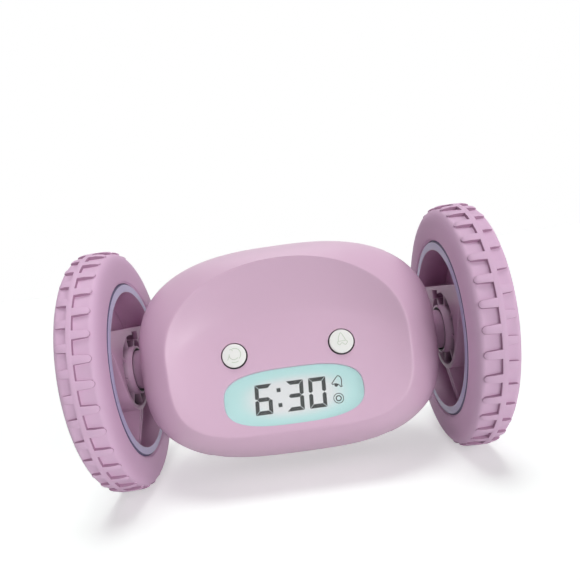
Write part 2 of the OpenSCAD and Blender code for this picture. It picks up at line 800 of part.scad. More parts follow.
// One lug seen from outside the tread: a finger that narrows from the rib to its round tip
module lug_outline(s) {
    tip = lug_w * 0.4;
    root = rib_out * s;
    polygon(concat(
        [[s * root, lug_w / 2], [s * root, -lug_w / 2]],
        [for (t = [-90 : 22.5 : 90]) [s * (lug_reach - tip + tip * cos(t)), tip * sin(t)]]
    ));
}

// Outline of the wheel's centre: a round hub drawn out to both ends of the shelf. The straight
// sides aim a little inside the hub's circle, so that they cross it instead of only touching it.
hub_r = hub_hole_r + 1.6;
centre_reach = rim_r + 0.4;
module centre_outline(inset) {
    r = hub_r - inset - 0.15;
    top = shelf_h - inset;
    corner = [sqrt(pow(centre_reach + 1, 2) - top * top), top];
    foot_dir = atan2(corner[1], corner[0]) - acos(r / norm(corner));
    foot = r * [cos(foot_dir), sin(foot_dir)];
    intersection() {
        union() {
            circle(r = hub_r - inset);
            polygon([[-corner[0], top], [-foot[0], foot[1]], foot, corner]);
        }
        circle(r = centre_reach);
    }
}

drum_r = 8.7;
drum_wall = 1.1;
drum_end = rim_in + 0.1;
drum_floor = drum_end + 5.6;
web_x = rim_out - 4.2;
web_t = 2;
spoke_w = 3.8;
spoke_slot = 1.5;
spoke_lean = 3.4;
module rim(side) {
    color([0.78, 0.72, 0.84]) wheel_frame(side) difference() {
        union() {
            along_x(half_track) rotate_extrude($fn = 96)
                polygon([[rim_r, -rim_w / 2], [rim_lip_r - 0.4, -rim_w / 2], [rim_lip_r, 0.5 - rim_w / 2],
                    [rim_lip_r, lip_w - rim_w / 2], [rim_seat_r, lip_w - rim_w / 2],
                    [rim_seat_r, rim_w / 2 - lip_w], [rim_lip_r, rim_w / 2 - lip_w],
                    [rim_lip_r, rim_w / 2 - 0.5], [rim_lip_r - 0.4, rim_w / 2], [rim_r, rim_w / 2]]);
            difference() {
                slab_x(rim_in + hub_recess, cover_x) centre_outline(0);
                slab_x(rim_in + hub_recess + rim_wall, cover_x + 1) difference() {
                    centre_outline(rim_wall);
                    circle(r = hub_r);
                }
                rod_x(hub_hole_r, rim_in, web_x);
            }
            bottom_spoke();
            rod_x(drum_r, drum_end, cover_x);
            for (k = [0 : 7]) rotate([k * 45 + 15, 0, 0])
                box([rim_in + hub_recess + 0.6, drum_r - 0.5, -0.6], [web_x + 0.1, hub_hole_r + 0.5, 0.6]);
            rod_x(hub_hole_r + 0.1, web_x, web_x + web_t);
        }
        rod_x(drum_r - drum_wall, drum_end - 1, drum_floor);
        rod_x(axle_r, drum_end, rim_out);
        rod_x(wheel_head_r + 0.25, cover_x - 1.7, rim_out + 1);
        slab_x(rim_in + hub_recess - 0.5, web_x - 1) polygon([[3, shelf_h - 4.6], [9.5, shelf_h - 4.6],
            [9.5, shelf_h - 1.4], [3, shelf_h - 1.4]]);
    }
}

// The narrow lower spoke: two thin walls with a slot, its front edge leaning outwards
module bottom_spoke() {
    front = rim_in + hub_recess;
    top = -hub_hole_r - 0.6;
    foot = -sqrt(pow(rim_r + 0.3, 2) - pow(spoke_w / 2, 2));
    spoke_wall = (spoke_w - spoke_slot) / 2;
    for (y = [spoke_w / 2, -spoke_slot / 2])
        translate([0, y, 0]) rotate([90, 0, 0]) linear_extrude(spoke_wall)
            polygon([[front, top], [cover_x, top], [cover_x, foot], [front + spoke_lean, foot]]);
}

cover_t = 1.6;
cover_x = rim_out - cover_t;
module hub_cover(side) {
    color([0.8, 0.68, 0.8]) wheel_frame(side) difference() {
        union() {
            rod_x(rim_r - 0.1, cover_x, rim_out);
            along_x(rim_out - 0.1) cylinder(r1 = hub_hole_r - 0.5, r2 = hub_hole_r - 1.5, h = 0.6);
        }
        rod_x(wheel_head_r + 0.25, cover_x - 1, rim_out - 0.8);
    }
}

wheel_head_r = 2.6;
axle_out = cover_x - 3.2;
module wheel_screw(side) {
    color([0.7, 0.7, 0.72]) wheel_frame(side) {
        rod_x(wheel_head_r, cover_x - 1.7, cover_x - 0.1);
        rod_x(axle_r, axle_out, cover_x - 1.6);
    }
}

// ---------------------------------------------------------------- drive

centre_dist = gear_module * (big_teeth + small_teeth) / 2;
second_dir = -30;
first_dir = 75;
motor_dir = 154.5;
second_at = centre_dist * [cos(second_dir), sin(second_dir)];
first_at = second_at + centre_dist * [cos(first_dir), sin(first_dir)];
motor_at = first_at + centre_dist * [cos(motor_dir), sin(motor_dir)];

// Turn of gear b that brings it into mesh with gear a, whose turn is given
function mesh_turn(turn_a, teeth_a, teeth_b, dir) =
    let (pitch_a = 360 / teeth_a, pitch_b = 360 / teeth_b)
    dir + 180 - pitch_b * (0.5 - (dir - turn_a) / pitch_a);
second_turn = mesh_turn(0, big_teeth, small_teeth, second_dir);
first_turn = mesh_turn(second_turn, big_teeth, small_teeth, first_dir);
pinion_turn = mesh_turn(first_turn, big_teeth, small_teeth, motor_dir);

pressure = 25;
tooth_head = 0.8;
tooth_foot = 1.1;
function involute_dir(base, r) =
    r <= base ? 0 : let (t = acos(base / r)) tan(t) * 180 / PI - t;

// A spur gear's outline: involute flanks from root to tip, repeated round
function gear_outline(teeth) =
    let (
        pitch_r = gear_module * teeth / 2,
        base = pitch_r * cos(pressure),
        tip = pitch_r + tooth_head * gear_module,
        root = pitch_r - tooth_foot * gear_module,
        half = 90 / teeth - backlash / 2 / pitch_r * 180 / PI + involute_dir(base, pitch_r),
        start = max(base, root + 0.02),
        flank = [for (k = [0 : 3]) let (r = start + (tip - start) * k / 3)
            [r, half - involute_dir(base, r)]],
        tooth = concat([[root, half]], flank)
    )
    [for (i = [0 : teeth - 1]) each concat(
        [for (p = tooth) let (a = i * 360 / teeth - p[1]) p[0] * [cos(a), sin(a)]],
        [for (k = [len(tooth) - 1 : -1 : 0])
            let (p = tooth[k], a = i * 360 / teeth + p[1]) p[0] * [cos(a), sin(a)]]
    )];

module gear(teeth, turn, x0, x1) {
    slab_x(x0, x1) rotate(turn) polygon(gear_outline(teeth));
}

base_t = 1.4;
layer_a = gearbox_x + base_t + 0.3;
layer_b = layer_a + gear_t + 0.7;
layer_c = layer_b + gear_t + 0.7;
gearbox_out = layer_c + gear_t + 2;
cover_plate_t = 1.4;
pin_r = 0.8;
box_wall = 1.2;
gear_room = gear_module * big_teeth / 2 + gear_module + 0.7;
pinion_room = gear_module * small_teeth / 2 + gear_module + 0.7;
ear_r = 2.6;
ear_top = gearbox_x + 8.4;
ear_at = [
    (gear_room + box_wall + 1) * [cos(165), sin(165)],
    second_at + (gear_room + box_wall + 1) * [cos(-45), sin(-45)],
    first_at + (gear_room + box_wall + 1) * [cos(45), sin(45)]
];

module motor_pinion(side) {
    color([0.8, 0.75, 0.6]) body_frame() to_side(side) {
        translate([0, motor_at[0], motor_at[1]]) {
            gear(small_teeth, pinion_turn, layer_a - 0.1, layer_a + gear_t + 0.1);
            rod_x(1, gearbox_x - 5, layer_a + gear_t + 0.3);
        }
    }
}

// A compound gear: a big gear with a pinion on its outer side, bored for its pin
module compound_gear(at, turn, x) {
    translate([0, at[0], at[1]]) difference() {
        union() {
            gear(big_teeth, turn, x, x + gear_t);
            gear(small_teeth, turn, x + gear_t - 0.1, x + 2 * gear_t + 0.8);
        }
        rod_x(pin_r + run_fit, x - 1, x + 3 * gear_t);
    }
}

module first_gear(side) {
    color([0.95, 0.95, 0.9]) body_frame() to_side(side) compound_gear(first_at, first_turn, layer_a);
}

module second_gear(side) {
    color([0.95, 0.95, 0.9]) body_frame() to_side(side) compound_gear(second_at, second_turn, layer_b);
}

module output_gear(side) {
    color([0.95, 0.95, 0.9]) body_frame() to_side(side) difference() {
        union() {
            gear(big_teeth, 0, layer_c, layer_c + gear_t);
            rod_x(3, layer_c - 0.4, layer_c + gear_t + 0.6);
        }
        rod_x(axle_r, layer_c - 1, layer_c + gear_t + 1);
    }
}

axle_in = layer_c - 0.4;
module axle(side) {
    color([0.75, 0.75, 0.78]) wheel_frame(side) rod_x(axle_r, axle_in, axle_out);
}

motor_flat = motor_r * 0.75;
module motor(side) {
    color([0.75, 0.76, 0.78]) body_frame() to_side(side) translate([0, motor_at[0], motor_at[1]])
        difference() {
            union() {
                slab_x(gearbox_x - motor_len, gearbox_x) intersection() {
                    circle(r = motor_r);
                    square([2 * motor_r + 1, 2 * motor_flat], center = true);
                }
                rod_x(3, gearbox_x - 0.1, gearbox_x + base_t);
                rod_x(3.4, gearbox_x - motor_len - 1.2, gearbox_x - motor_len + 0.1);
            }
            rod_x(1 + run_fit, gearbox_x - 5.2, gearbox_x + base_t + 1);
        }
}

// The gearbox's outline, for a wall of the given distance outside the gears' room
module box_outline(off) {
    for (at = [[0, 0], second_at, first_at]) translate(at) circle(r = gear_room + off);
    translate(motor_at) circle(r = pinion_room + off);
}

module gearbox_base(side) {
    color([0.9, 0.9, 0.88]) body_frame() to_side(side) {
        difference() {
            slab_x(gearbox_x, gearbox_x + base_t) union() {
                box_outline(box_wall);
                for (at = ear_at) translate(at) circle(r = ear_r);
            }
            rod_x(3 + seat_gap, gearbox_x - 1, gearbox_x + base_t + 1, motor_at[0], motor_at[1]);
            for (at = ear_at) rod_x(small_screw_r + 0.2, gearbox_x - 1, gearbox_x + 3, at[0], at[1]);
        }
        for (at = [first_at, second_at])
            rod_x(pin_r, gearbox_x + base_t - 0.1, gearbox_out + cover_plate_t, at[0], at[1]);
    }
}

module gearbox_cover(side) {
    color([0.9, 0.9, 0.88]) body_frame() to_side(side) difference() {
        union() {
            slab_x(gearbox_x + base_t, gearbox_out + cover_plate_t) box_outline(box_wall);
            slab_x(gearbox_x + base_t, ear_top) for (at = ear_at) translate(at) circle(r = ear_r);
        }
        difference() {
            slab_x(gearbox_x + base_t - 1, gearbox_out) box_outline(0);
            slab_x(gearbox_x, ear_top) for (at = ear_at) translate(at) circle(r = ear_r);
        }
        for (at = [first_at, second_at])
            rod_x(pin_r, gearbox_out - 1, gearbox_out + cover_plate_t + 1, at[0], at[1]);
        rod_x(axle_r + 0.5, gearbox_out - 1, gearbox_out + cover_plate_t + 1);
        for (at = ear_at) rod_x(small_screw_r, gearbox_x, ear_top - 0.4, at[0], at[1]);
    }
}

module gearbox_screws(side) {
    color([0.7, 0.7, 0.72]) body_frame() to_side(side) for (at = ear_at) {
        rod_x(small_screw_r, gearbox_x - 0.01, ear_top - 1.4, at[0], at[1]);
        rod_x(small_head_r, gearbox_x - 1.1, gearbox_x, at[0], at[1]);
    }
}

// The bearing that carries an axle through the body's side: flange inside, steps outside
module axle_bearing(side) {
    inner = gearbox_out + cover_plate_t;
    color([0.8, 0.66, 0.79]) body_frame() to_side(side) along_x() rotate_extrude()
        polygon([
            [axle_r + run_fit, inner + seat_gap], [bearing_flange_r, inner + seat_gap],
            [bearing_flange_r, skin_x - seat_gap], [side_hole_r - seat_gap, skin_x - seat_gap],
            [side_hole_r - seat_gap, body_w / 2 + 0.9], [side_hole_r - 0.8, body_w / 2 + 0.9],
            [side_hole_r - 0.8, body_w / 2 + 2.4], [drum_r - drum_wall - 0.6, body_w / 2 + 2.4],
            [drum_r - drum_wall - 0.6, drum_end + 1], [axle_r + run_fit, drum_end + 1]
        ]);
}

// ---------------------------------------------------------------- one line for each node

front_shell();
rear_shell();
display_window();
lcd_panel();
lcd_digits();
lcd_holder();
main_board();
board_screws();
face_switches();
eye_button(-1);  // snooze_button
eye_button(1);  // alarm_button
battery_tray();
battery_contacts();
battery_cells();
battery_door();
door_screws();
speaker();
setting_board();
setting_switches();
key(0);  // hour_key
key(1);  // minute_key
key(2);  // wake_time_key
key(3);  // wheel_setting_key
shell_screws();
for (s = [["left_", -1], ["right_", 1]]) {
    tyre(s[1]);
    rim(s[1]);
    hub_cover(s[1]);
    wheel_screw(s[1]);
    axle(s[1]);
    output_gear(s[1]);
    second_gear(s[1]);
    first_gear(s[1]);
    motor_pinion(s[1]);
    motor(s[1]);
    gearbox_base(s[1]);
    gearbox_cover(s[1]);
    gearbox_screws(s[1]);
    axle_bearing(s[1]);
}
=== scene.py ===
# %% [markdown]
# # A runaway alarm clock, dressed in Blender
#
# The clock is a rounded body slung between two big treaded wheels. Its working parts come in from the
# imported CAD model, which is the fixed frame. This lesson rebuilds the surfaces that are seen close up:
# the moulded shells with their sunken face, the rubber tyres and the soft-edged wheel centres. All sizes
# are written in millimetres and turned into metres where a mesh is made.

# %% Load the frame
import json
import math

import bmesh
import bpy
import numpy as np
from mathutils import Matrix, Vector


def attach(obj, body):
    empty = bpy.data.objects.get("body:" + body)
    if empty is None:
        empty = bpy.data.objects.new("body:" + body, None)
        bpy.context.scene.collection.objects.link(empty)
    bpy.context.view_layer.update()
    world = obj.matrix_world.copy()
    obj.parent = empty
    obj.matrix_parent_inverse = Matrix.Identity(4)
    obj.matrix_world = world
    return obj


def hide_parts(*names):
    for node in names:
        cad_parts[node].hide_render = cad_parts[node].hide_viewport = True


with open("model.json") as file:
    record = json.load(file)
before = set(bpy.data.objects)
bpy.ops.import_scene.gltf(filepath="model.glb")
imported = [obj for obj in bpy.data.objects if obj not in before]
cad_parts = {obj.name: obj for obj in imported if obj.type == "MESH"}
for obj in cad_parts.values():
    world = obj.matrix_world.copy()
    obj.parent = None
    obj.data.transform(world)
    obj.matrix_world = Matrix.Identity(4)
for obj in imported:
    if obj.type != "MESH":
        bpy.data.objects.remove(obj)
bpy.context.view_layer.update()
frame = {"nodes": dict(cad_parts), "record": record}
nodes = frame["nodes"]
MM = 0.001
print("pieces from the packed model:", len(nodes))

# %% [markdown]
# ## Where things are
#
# The wheels turn about one axle, half a tyre's height above the floor. The whole body leans back a little
# on it, so that the face looks up, and the wheels stand turned by a few degrees. Two matrices hold those
# places, and every mesh is put through one of them, so that each finished object stays at the origin.

# %% The body's place and the wheels' place
AXLE_HEIGHT = 43.0
BODY_LEAN = 13.5
WHEEL_TURN = 3.9
body_place = Matrix.Translation((0, 0, AXLE_HEIGHT)) @ Matrix.Rotation(math.radians(-BODY_LEAN), 4, "X")
wheel_place = Matrix.Translation((0, 0, AXLE_HEIGHT)) @ Matrix.Rotation(math.radians(-WHEEL_TURN), 4, "X")
print("axle at", AXLE_HEIGHT, "mm, body leaning back by", BODY_LEAN, "degrees")

# %% [markdown]
# Every piece below is a mesh from a list of corners and faces. A few small helpers do what each one needs:
# put it in the scene, turn its faces outwards, turn its modifiers into plain mesh, and shade it.

# %% Helpers for meshes


def new_object(name, data):
    """An object that holds a mesh, lamp or camera, in the scene."""
    made = bpy.data.objects.new(name, data)
    bpy.context.scene.collection.objects.link(made)
    return made


def new_piece(name, vertices, faces, place):
    """An object from corners in millimetres, put in its place in metres."""
    mesh = bpy.data.meshes.new(name)
    mesh.from_pydata([place @ Vector(v) * MM for v in vertices], [], faces)
    return new_object(name, mesh)


def turn_outwards(mesh):
    """Turns every face of a closed mesh outwards."""
    bm = bmesh.new()
    bm.from_mesh(mesh)
    bmesh.ops.recalc_face_normals(bm, faces=bm.faces)
    bm.to_mesh(mesh)
    bm.free()


def plain_mesh(piece):
    """Turns a piece with modifiers into a plain mesh, as seen."""
    depsgraph = bpy.context.evaluated_depsgraph_get()
    made = bpy.data.meshes.new_from_object(piece.evaluated_get(depsgraph))
    piece.modifiers.clear()
    old = piece.data
    piece.data = made
    if old.users == 0:
        bpy.data.meshes.remove(old)
    piece.data.name = piece.name


def smooth_by_angle(piece, degrees):
    """Smooth shading, with an edge kept sharp where its faces turn more than this."""
    mesh = piece.data
    mesh.polygons.foreach_set("use_smooth", [True] * len(mesh.polygons))
    mesh.set_sharp_from_angle(angle=math.radians(degrees))


def triangles(piece):
    """How many triangles a piece's faces come to."""
    return sum(len(p.vertices) - 2 for p in piece.data.polygons)


# %% [markdown]
# ## The camera
#
# The photograph was taken close up with a wide lens, a little above the clock and slightly rolled. The
# ellipses of the tyres and rims give the camera's place, so the numbers below are that fit. The lens shift
# keeps the clock low in the frame, as it stands in the photograph.

# %% Set the camera
PICTURE_SIDE, SENSOR_WIDTH = 580, 36.0
FOCAL_LENGTH, MIDDLE_X, MIDDLE_Y = 531.2, 293.085, 366.65  # in points of the picture
CAMERA_X, CAMERA_Y, CAMERA_UP = 2.81, -191.39, 31.78  # in mm, from the middle of the axle
PAN, LOOK_DOWN, ROLL = 0.63, 7.448 + WHEEL_TURN, -7.85  # in degrees
camera_data = bpy.data.cameras.new("camera")
camera = new_object("camera", camera_data)
bpy.context.scene.camera = camera
camera_data.sensor_width = SENSOR_WIDTH
camera_data.lens = FOCAL_LENGTH * SENSOR_WIDTH / PICTURE_SIDE
camera_data.shift_x = (PICTURE_SIDE / 2 - MIDDLE_X) / PICTURE_SIDE
camera_data.shift_y = (MIDDLE_Y - PICTURE_SIDE / 2) / PICTURE_SIDE
camera_data.clip_start = 0.01
camera_data.clip_end = 20.0
camera.matrix_world = (
    Matrix.Translation(Vector((CAMERA_X, CAMERA_Y, CAMERA_UP + AXLE_HEIGHT)) * MM)
    @ Matrix.Rotation(math.radians(PAN), 4, "Z")
    @ Matrix.Rotation(math.radians(90.0 - LOOK_DOWN), 4, "X")
    @ Matrix.Rotation(math.radians(ROLL), 4, "Z")
)
print("lens in mm:", round(camera_data.lens, 2), "looking down by", round(LOOK_DOWN, 2), "degrees")

# %% [markdown]
# ## Colours and finishes
#
# A colour seen on a screen is stored with a curve, while the shader wants light, so each colour goes
# through that curve first. Moulded plastic and rubber are never quite even: a slow, faint change of tone
# and a fine grain in the surface make them look made and not computed. One helper makes that base, and
# each finish then sets its own gloss.

# %% Colours and nodes


def seen(red, green, blue):
    """A colour as a screen shows it, 0 to 255, as light for a shader."""
    light = []
    for value in (red, green, blue):
        share = value / 255
        light.append(share / 12.92 if share <= 0.04045 else ((share + 0.055) / 1.055) ** 2.4)
    return (*light, 1.0)


def feed(tree, socket, value):
    """Links a socket to another one, or sets it to a value."""
    if isinstance(value, bpy.types.NodeSocket):
        tree.links.new(value, socket)
    else:
        socket.default_value = value


def add_node(tree, kind, **values):
    """A node with its sockets set or linked by name; a name that is no socket is a setting."""
    node = tree.nodes.new(kind)
    for name, value in values.items():
        if name.replace("_", " ") in node.inputs:
            feed(tree, node.inputs[name.replace("_", " ")], value)
        else:
            setattr(node, name, value)
    return node


def math_node(tree, operation, first, second=None, kind="ShaderNodeMath"):
    """One sum, of numbers or of vectors."""
    node = add_node(tree, kind, operation=operation)
    for socket, value in zip(node.inputs, (first, second)):
        if value is not None:
            feed(tree, socket, value)
    return node.outputs[0]


def colour_mix(tree, share, first, second):
    """A blend of two colours, from the first at 0 to the second at 1."""
    node = add_node(tree, "ShaderNodeMix", data_type="RGBA")
    tree.links.new(share, node.inputs[0])
    ends = [socket for socket in node.inputs if socket.type == "RGBA"]
    feed(tree, ends[0], first)
    feed(tree, ends[1], second)
    return next(socket for socket in node.outputs if socket.type == "RGBA")


print("middle grey as light:", round(seen(128, 128, 128)[0], 3))

# %% Helpers for finishes


def set_shader(material, **values):
    """Sets sockets of a finish's shader by name."""
    shader = material.node_tree.nodes["Principled BSDF"]
    for name, value in values.items():
        shader.inputs[name.replace("_", " ")].default_value = value
    return shader


def finish(name, colour, roughness, tone=0.03, tone_size=25.0, grain=0.02, grain_size=1800.0):
    """A moulded surface: a slow change of tone, and a fine grain as bump."""
    material = bpy.data.materials.new(name)
    material.use_nodes = True
    material.diffuse_color = colour
    tree = material.node_tree
    shader = set_shader(material, Roughness=roughness)
    where = add_node(tree, "ShaderNodeTexCoord")
    slow = add_node(tree, "ShaderNodeTexNoise", Vector=where.outputs["Object"], Scale=tone_size, Detail=2.0)
    darker = tuple(c * (1 - tone) for c in colour[:3]) + (1.0,)
    lighter = tuple(min(1.0, c * (1 + tone)) for c in colour[:3]) + (1.0,)
    tree.links.new(colour_mix(tree, slow.outputs["Fac"], darker, lighter), shader.inputs["Base Color"])
    fine = add_node(
        tree, "ShaderNodeTexNoise", Vector=where.outputs["Object"], Scale=grain_size, Detail=3.0
    )
    bump = add_node(tree, "ShaderNodeBump", Strength=grain, Distance=0.0002, Height=fine.outputs["Fac"])
    tree.links.new(bump.outputs["Normal"], shader.inputs["Normal"])
    return material


def dress(piece, material):
    """Gives the piece one material in every slot."""
    if not piece.data.materials:
        piece.data.materials.append(material)
    for slot in range(len(piece.data.materials)):
        piece.data.materials[slot] = material


def paint_where(piece, material, chosen):
    """Gives a second material to the faces whose corners, in millimetres, and normal pass a test."""
    piece.data.materials.append(material)
    for face in piece.data.polygons:
        corners = [piece.data.vertices[v].co / MM for v in face.vertices]
        if chosen(corners, face.normal):
            face.material_index = len(piece.data.materials) - 1


# %% [markdown]
# The shells are a satin lilac plastic with a thin gloss over it, the tyres a duller rubber of nearly the same
# colour, and the rim's outer ring is lavender. What stays inside has the plain finishes of such parts.

# %% The clock's own finishes
shell_lilac = finish("shell_lilac", seen(225, 187, 213), 0.42, tone=0.01, grain=0.01)
set_shader(shell_lilac, Coat_Weight=0.1, Coat_Roughness=0.25)
tyre_rubber = finish("tyre_rubber", seen(226, 187, 218), 0.62, tone=0.025, grain=0.12, grain_size=2600.0)
# Painted shade: the darker colour of the tread's steep walls stands in for the shade in the grooves.
tread_shade = finish("tread_shade", seen(176, 134, 163), 0.7, tone=0.03, grain=0.12, grain_size=2600.0)
rim_lavender = finish("rim_lavender", seen(190, 182, 218), 0.4, tone=0.02, grain=0.03)
wheel_lilac = finish("wheel_lilac", seen(206, 166, 196), 0.42, tone=0.02, grain=0.03)
# The hub's lilac gets painted shade in its deep pockets, added below.
hub_lilac = finish("hub_lilac", seen(206, 166, 196), 0.42, tone=0.02, grain=0.03)
lip_shade = finish("lip_shade", seen(96, 88, 124), 0.5, tone=0.02)
button_white = finish("button_white", seen(250, 250, 247), 0.25, tone=0.005, grain=0.01)
# Painted shade: the buttons' foot is dark because it lies deep in the narrow gap round each button.
button_foot = finish("button_foot", seen(40, 34, 40), 0.6, tone=0.02)
sign_grey = finish("sign_grey", seen(206, 215, 199), 0.4, tone=0.01)
figure_black = finish("figure_black", seen(30, 30, 32), 0.6, tone=0.02)
steel = finish("steel", seen(196, 196, 200), 0.3, tone=0.05, grain=0.05)
brass = finish("brass", seen(214, 186, 120), 0.3, tone=0.05, grain=0.05)
for metal in (steel, brass):
    set_shader(metal, Metallic=1.0)
board_green = finish("board_green", seen(36, 96, 64), 0.45, tone=0.1, tone_size=300.0)
moulded_white = finish("moulded_white", seen(232, 230, 224), 0.45, tone=0.02, grain=0.03)
moulded_black = finish("moulded_black", seen(38, 38, 41), 0.5, tone=0.1, grain=0.05)
cell_wrap = finish("cell_wrap", seen(60, 74, 92), 0.3, tone=0.08, tone_size=60.0)
gear_cream = finish("gear_cream", seen(238, 236, 220), 0.4, tone=0.02, grain=0.02)
print("finishes:", len(bpy.data.materials))

# %% [markdown]
# The pockets round the rim's hub are deep and narrow, and hardly any light comes out of them. That shade is
# painted into the hub's finish, which turns dark with depth inside the hub's own hole.

# %% Darken the hub's pockets
# Painted shade: the colour the hub's pockets turn to with depth, standing in for the shade inside them.
POCKET_SHADE_COLOUR = seen(38, 12, 30)
RIM_INNER_X, HUB_HOLE, DRUM_BORE = 54.9, 13.2, 8.0
SHADE_FROM, SHADE_TO = 1.5, 5.5  # how deep in the pocket the shade starts and is full
tree = hub_lilac.node_tree
base = tree.nodes["Principled BSDF"].inputs["Base Color"]
where = add_node(tree, "ShaderNodeTexCoord")
place = add_node(tree, "ShaderNodeSeparateXYZ", Vector=where.outputs["Object"])
depth = math_node(tree, "SUBTRACT", math_node(tree, "ABSOLUTE", place.outputs["X"]), RIM_INNER_X * MM)
height = math_node(tree, "SUBTRACT", place.outputs["Z"], AXLE_HEIGHT * MM)
squares = [math_node(tree, "MULTIPLY", side, side) for side in (height, place.outputs["Y"])]
radius = math_node(tree, "SQRT", math_node(tree, "ADD", *squares))
falling = add_node(
    tree, "ShaderNodeMapRange", Value=depth, From_Min=SHADE_FROM * MM, From_Max=SHADE_TO * MM
).outputs["Result"]
pocket = math_node(tree, "MULTIPLY", falling, math_node(tree, "LESS_THAN", radius, HUB_HOLE * MM))
amount = math_node(tree, "MAXIMUM", pocket, math_node(tree, "LESS_THAN", radius, DRUM_BORE * MM))
tree.links.new(colour_mix(tree, amount, base.links[0].from_socket, POCKET_SHADE_COLOUR), base)
print("the hub's shade is full at", SHADE_TO, "mm")

# %% [markdown]
# ## The body's form
#
# The body is a barrel that is round from the side and nearly flat across, and it turns into the outline of
# the face towards the front and into a dome at the back. A section across it at any depth is a
# superellipse: its corners get rounder or squarer by one number. The formulas below give that section for
# the outer skin, or for the inner one when the wall is taken off.

# %% Formulas of the body
BODY_WIDTH, BODY_RADIUS, REAR_DEPTH, WALL = 101.0, 37.2, 35.0, 2.0
FACE_DISTANCE, FACE_WIDTH, FACE_HEIGHT = 24.5, 78.4, 56.8
SEAM, SEAM_GAP = 13.0, 0.2
ROUND_START, REAR_ROUND = 12.0, 20.0
FACE_TURN, REAR_TURN = 2.2, 2.4  # how late the sides turn in towards the face and the back
BODY_BULGE, FACE_BULGE = (2.7, 3.2), (2.05, 3.8)  # over and under the axle's level


def to_face(y):
    """How far a section has turned into the face's outline: 0 on the barrel, 1 at the face."""
    return max(0.0, (-y - ROUND_START) / (FACE_DISTANCE - ROUND_START)) ** FACE_TURN


def half_height(y, off):
    """Half the height of the section at y, with a wall of off taken away."""
    if y < 0:
        return math.sqrt((BODY_RADIUS - off) ** 2 - y * y)
    return (BODY_RADIUS - off) * math.sqrt(max(0.0, 1 - (y / (REAR_DEPTH - off)) ** 2))


def half_width(y, off):
    """Half the width of the section at y, with a wall of off taken away."""
    if y < 0:
        return BODY_WIDTH / 2 - off - (BODY_WIDTH - FACE_WIDTH) / 2 * to_face(y)
    past = max(0.0, y - (REAR_DEPTH - REAR_ROUND)) / (REAR_ROUND - off)
    return (BODY_WIDTH / 2 - off) * math.sqrt(max(0.0, 1 - min(1.0, past) ** REAR_TURN))


def reach(angle, width, height, bulge):
    """From the middle to the outline of a superellipse."""
    power = bulge[1] if math.sin(angle) < 0 else bulge[0]
    return (
        abs(math.cos(angle) / width) ** power + abs(math.sin(angle) / height) ** power
    ) ** (-1 / power)


def section_point(angle, y, off):
    """The point of the section at y that is seen from its middle at an angle."""
    share = to_face(y - off * (1 if y > 0 else -1 if y < 0 else 0))
    bulge = [b + (f - b) * share for b, f in zip(BODY_BULGE, FACE_BULGE)]
    r = reach(angle, max(1e-6, half_width(y, off)), max(1e-6, half_height(y, off)), bulge)
    return (r * math.cos(angle), y, r * math.sin(angle))


print("half height over the axle:", half_height(0, 0), "half width:", half_width(0, 0))

# %% [markdown]
# The face is sunk into the end of that barrel. It slopes in from its top edge to a soft crease low down, and
# turns out again to the lower edge, so its depth is one formula too, which every point on the face reads.

# %% Formulas of the sunken face
DISH_DEPTH, CREASE_SHARE, CREASE_SOFT, SCOOP = 5.5, 0.67, 0.12, 1.8


def face_sink(x, z):
    """How far the face lies behind the plane of its edge."""
    u = min(0.999, abs(x) / (FACE_WIDTH / 2))
    top = FACE_HEIGHT / 2 * (1 - u ** FACE_BULGE[0]) ** (1 / FACE_BULGE[0])
    foot = -FACE_HEIGHT / 2 * (1 - u ** FACE_BULGE[1]) ** (1 / FACE_BULGE[1])
    v = min(1.0, max(0.0, (z - foot) / (top - foot)))
    up, short = v / CREASE_SHARE, 1 - (1 - v) / (1 - CREASE_SHARE)
    down = 1 - math.copysign(abs(short) ** SCOOP, short)
    soft = (up + down - math.hypot(up - down, CREASE_SOFT)) / 2
    return DISH_DEPTH * (1 - u**4) * max(0.0, soft)


def face_point(angle, share, off):
    """A point of the sunken face, at a share of the way from its middle to its edge."""
    r = share * reach(angle, FACE_WIDTH / 2 - off, FACE_HEIGHT / 2 - off, FACE_BULGE)
    x, z = r * math.cos(angle), r * math.sin(angle)
    return (x, off - FACE_DISTANCE + face_sink(x, z), z)


print("the face lies", round(face_sink(0, 0), 2), "mm behind its edge in the middle")

# %% [markdown]
# ## Skins and cups
#
# A shell is an outer skin and an inner skin joined round the open edge. Each skin is a stack of rings that
# ends in one closing point. On the real moulding the edge between the sides and the face is rounded, so
# the outer skin's points near that edge are averaged along their own line, which rounds it and leaves
# everything further off where it was.

# %% The lines of the skins
AROUND, SIDE_STEPS, FACE_STEPS, REAR_STEPS = 240, 34, 60, 44
angles = [2 * math.pi * k / AROUND for k in range(AROUND)]


def rounded(line, corner, size):
    """Rounds a line of points near one of them by averaging over a distance."""
    points = np.array(line)
    steps = np.linalg.norm(np.diff(points, axis=0), axis=1)
    along = np.concatenate([[0.0], np.cumsum(steps)])
    share = np.gradient(along)
    near = np.abs(along - along[corner])
    result = points.copy()
    for k in np.nonzero(near < 3 * size)[0]:
        weight = np.exp(-(((along - along[k]) / (0.75 * size)) ** 2)) * share
        weight[np.abs(along - along[k]) > 2 * size] = 0.0
        average = (points * weight[:, None]).sum(axis=0) / weight.sum()
        amount = math.exp(-((near[k] / size) ** 4) / 8)
        result[k] += (average - points[k]) * amount
    return [tuple(p) for p in result]


def edge_radius(angle):
    """The rounding of the face's edge: crisp over the brow and at the sides, soft at the chin."""
    return 0.7 + 1.5 * max(0.0, -math.sin(angle)) ** 3


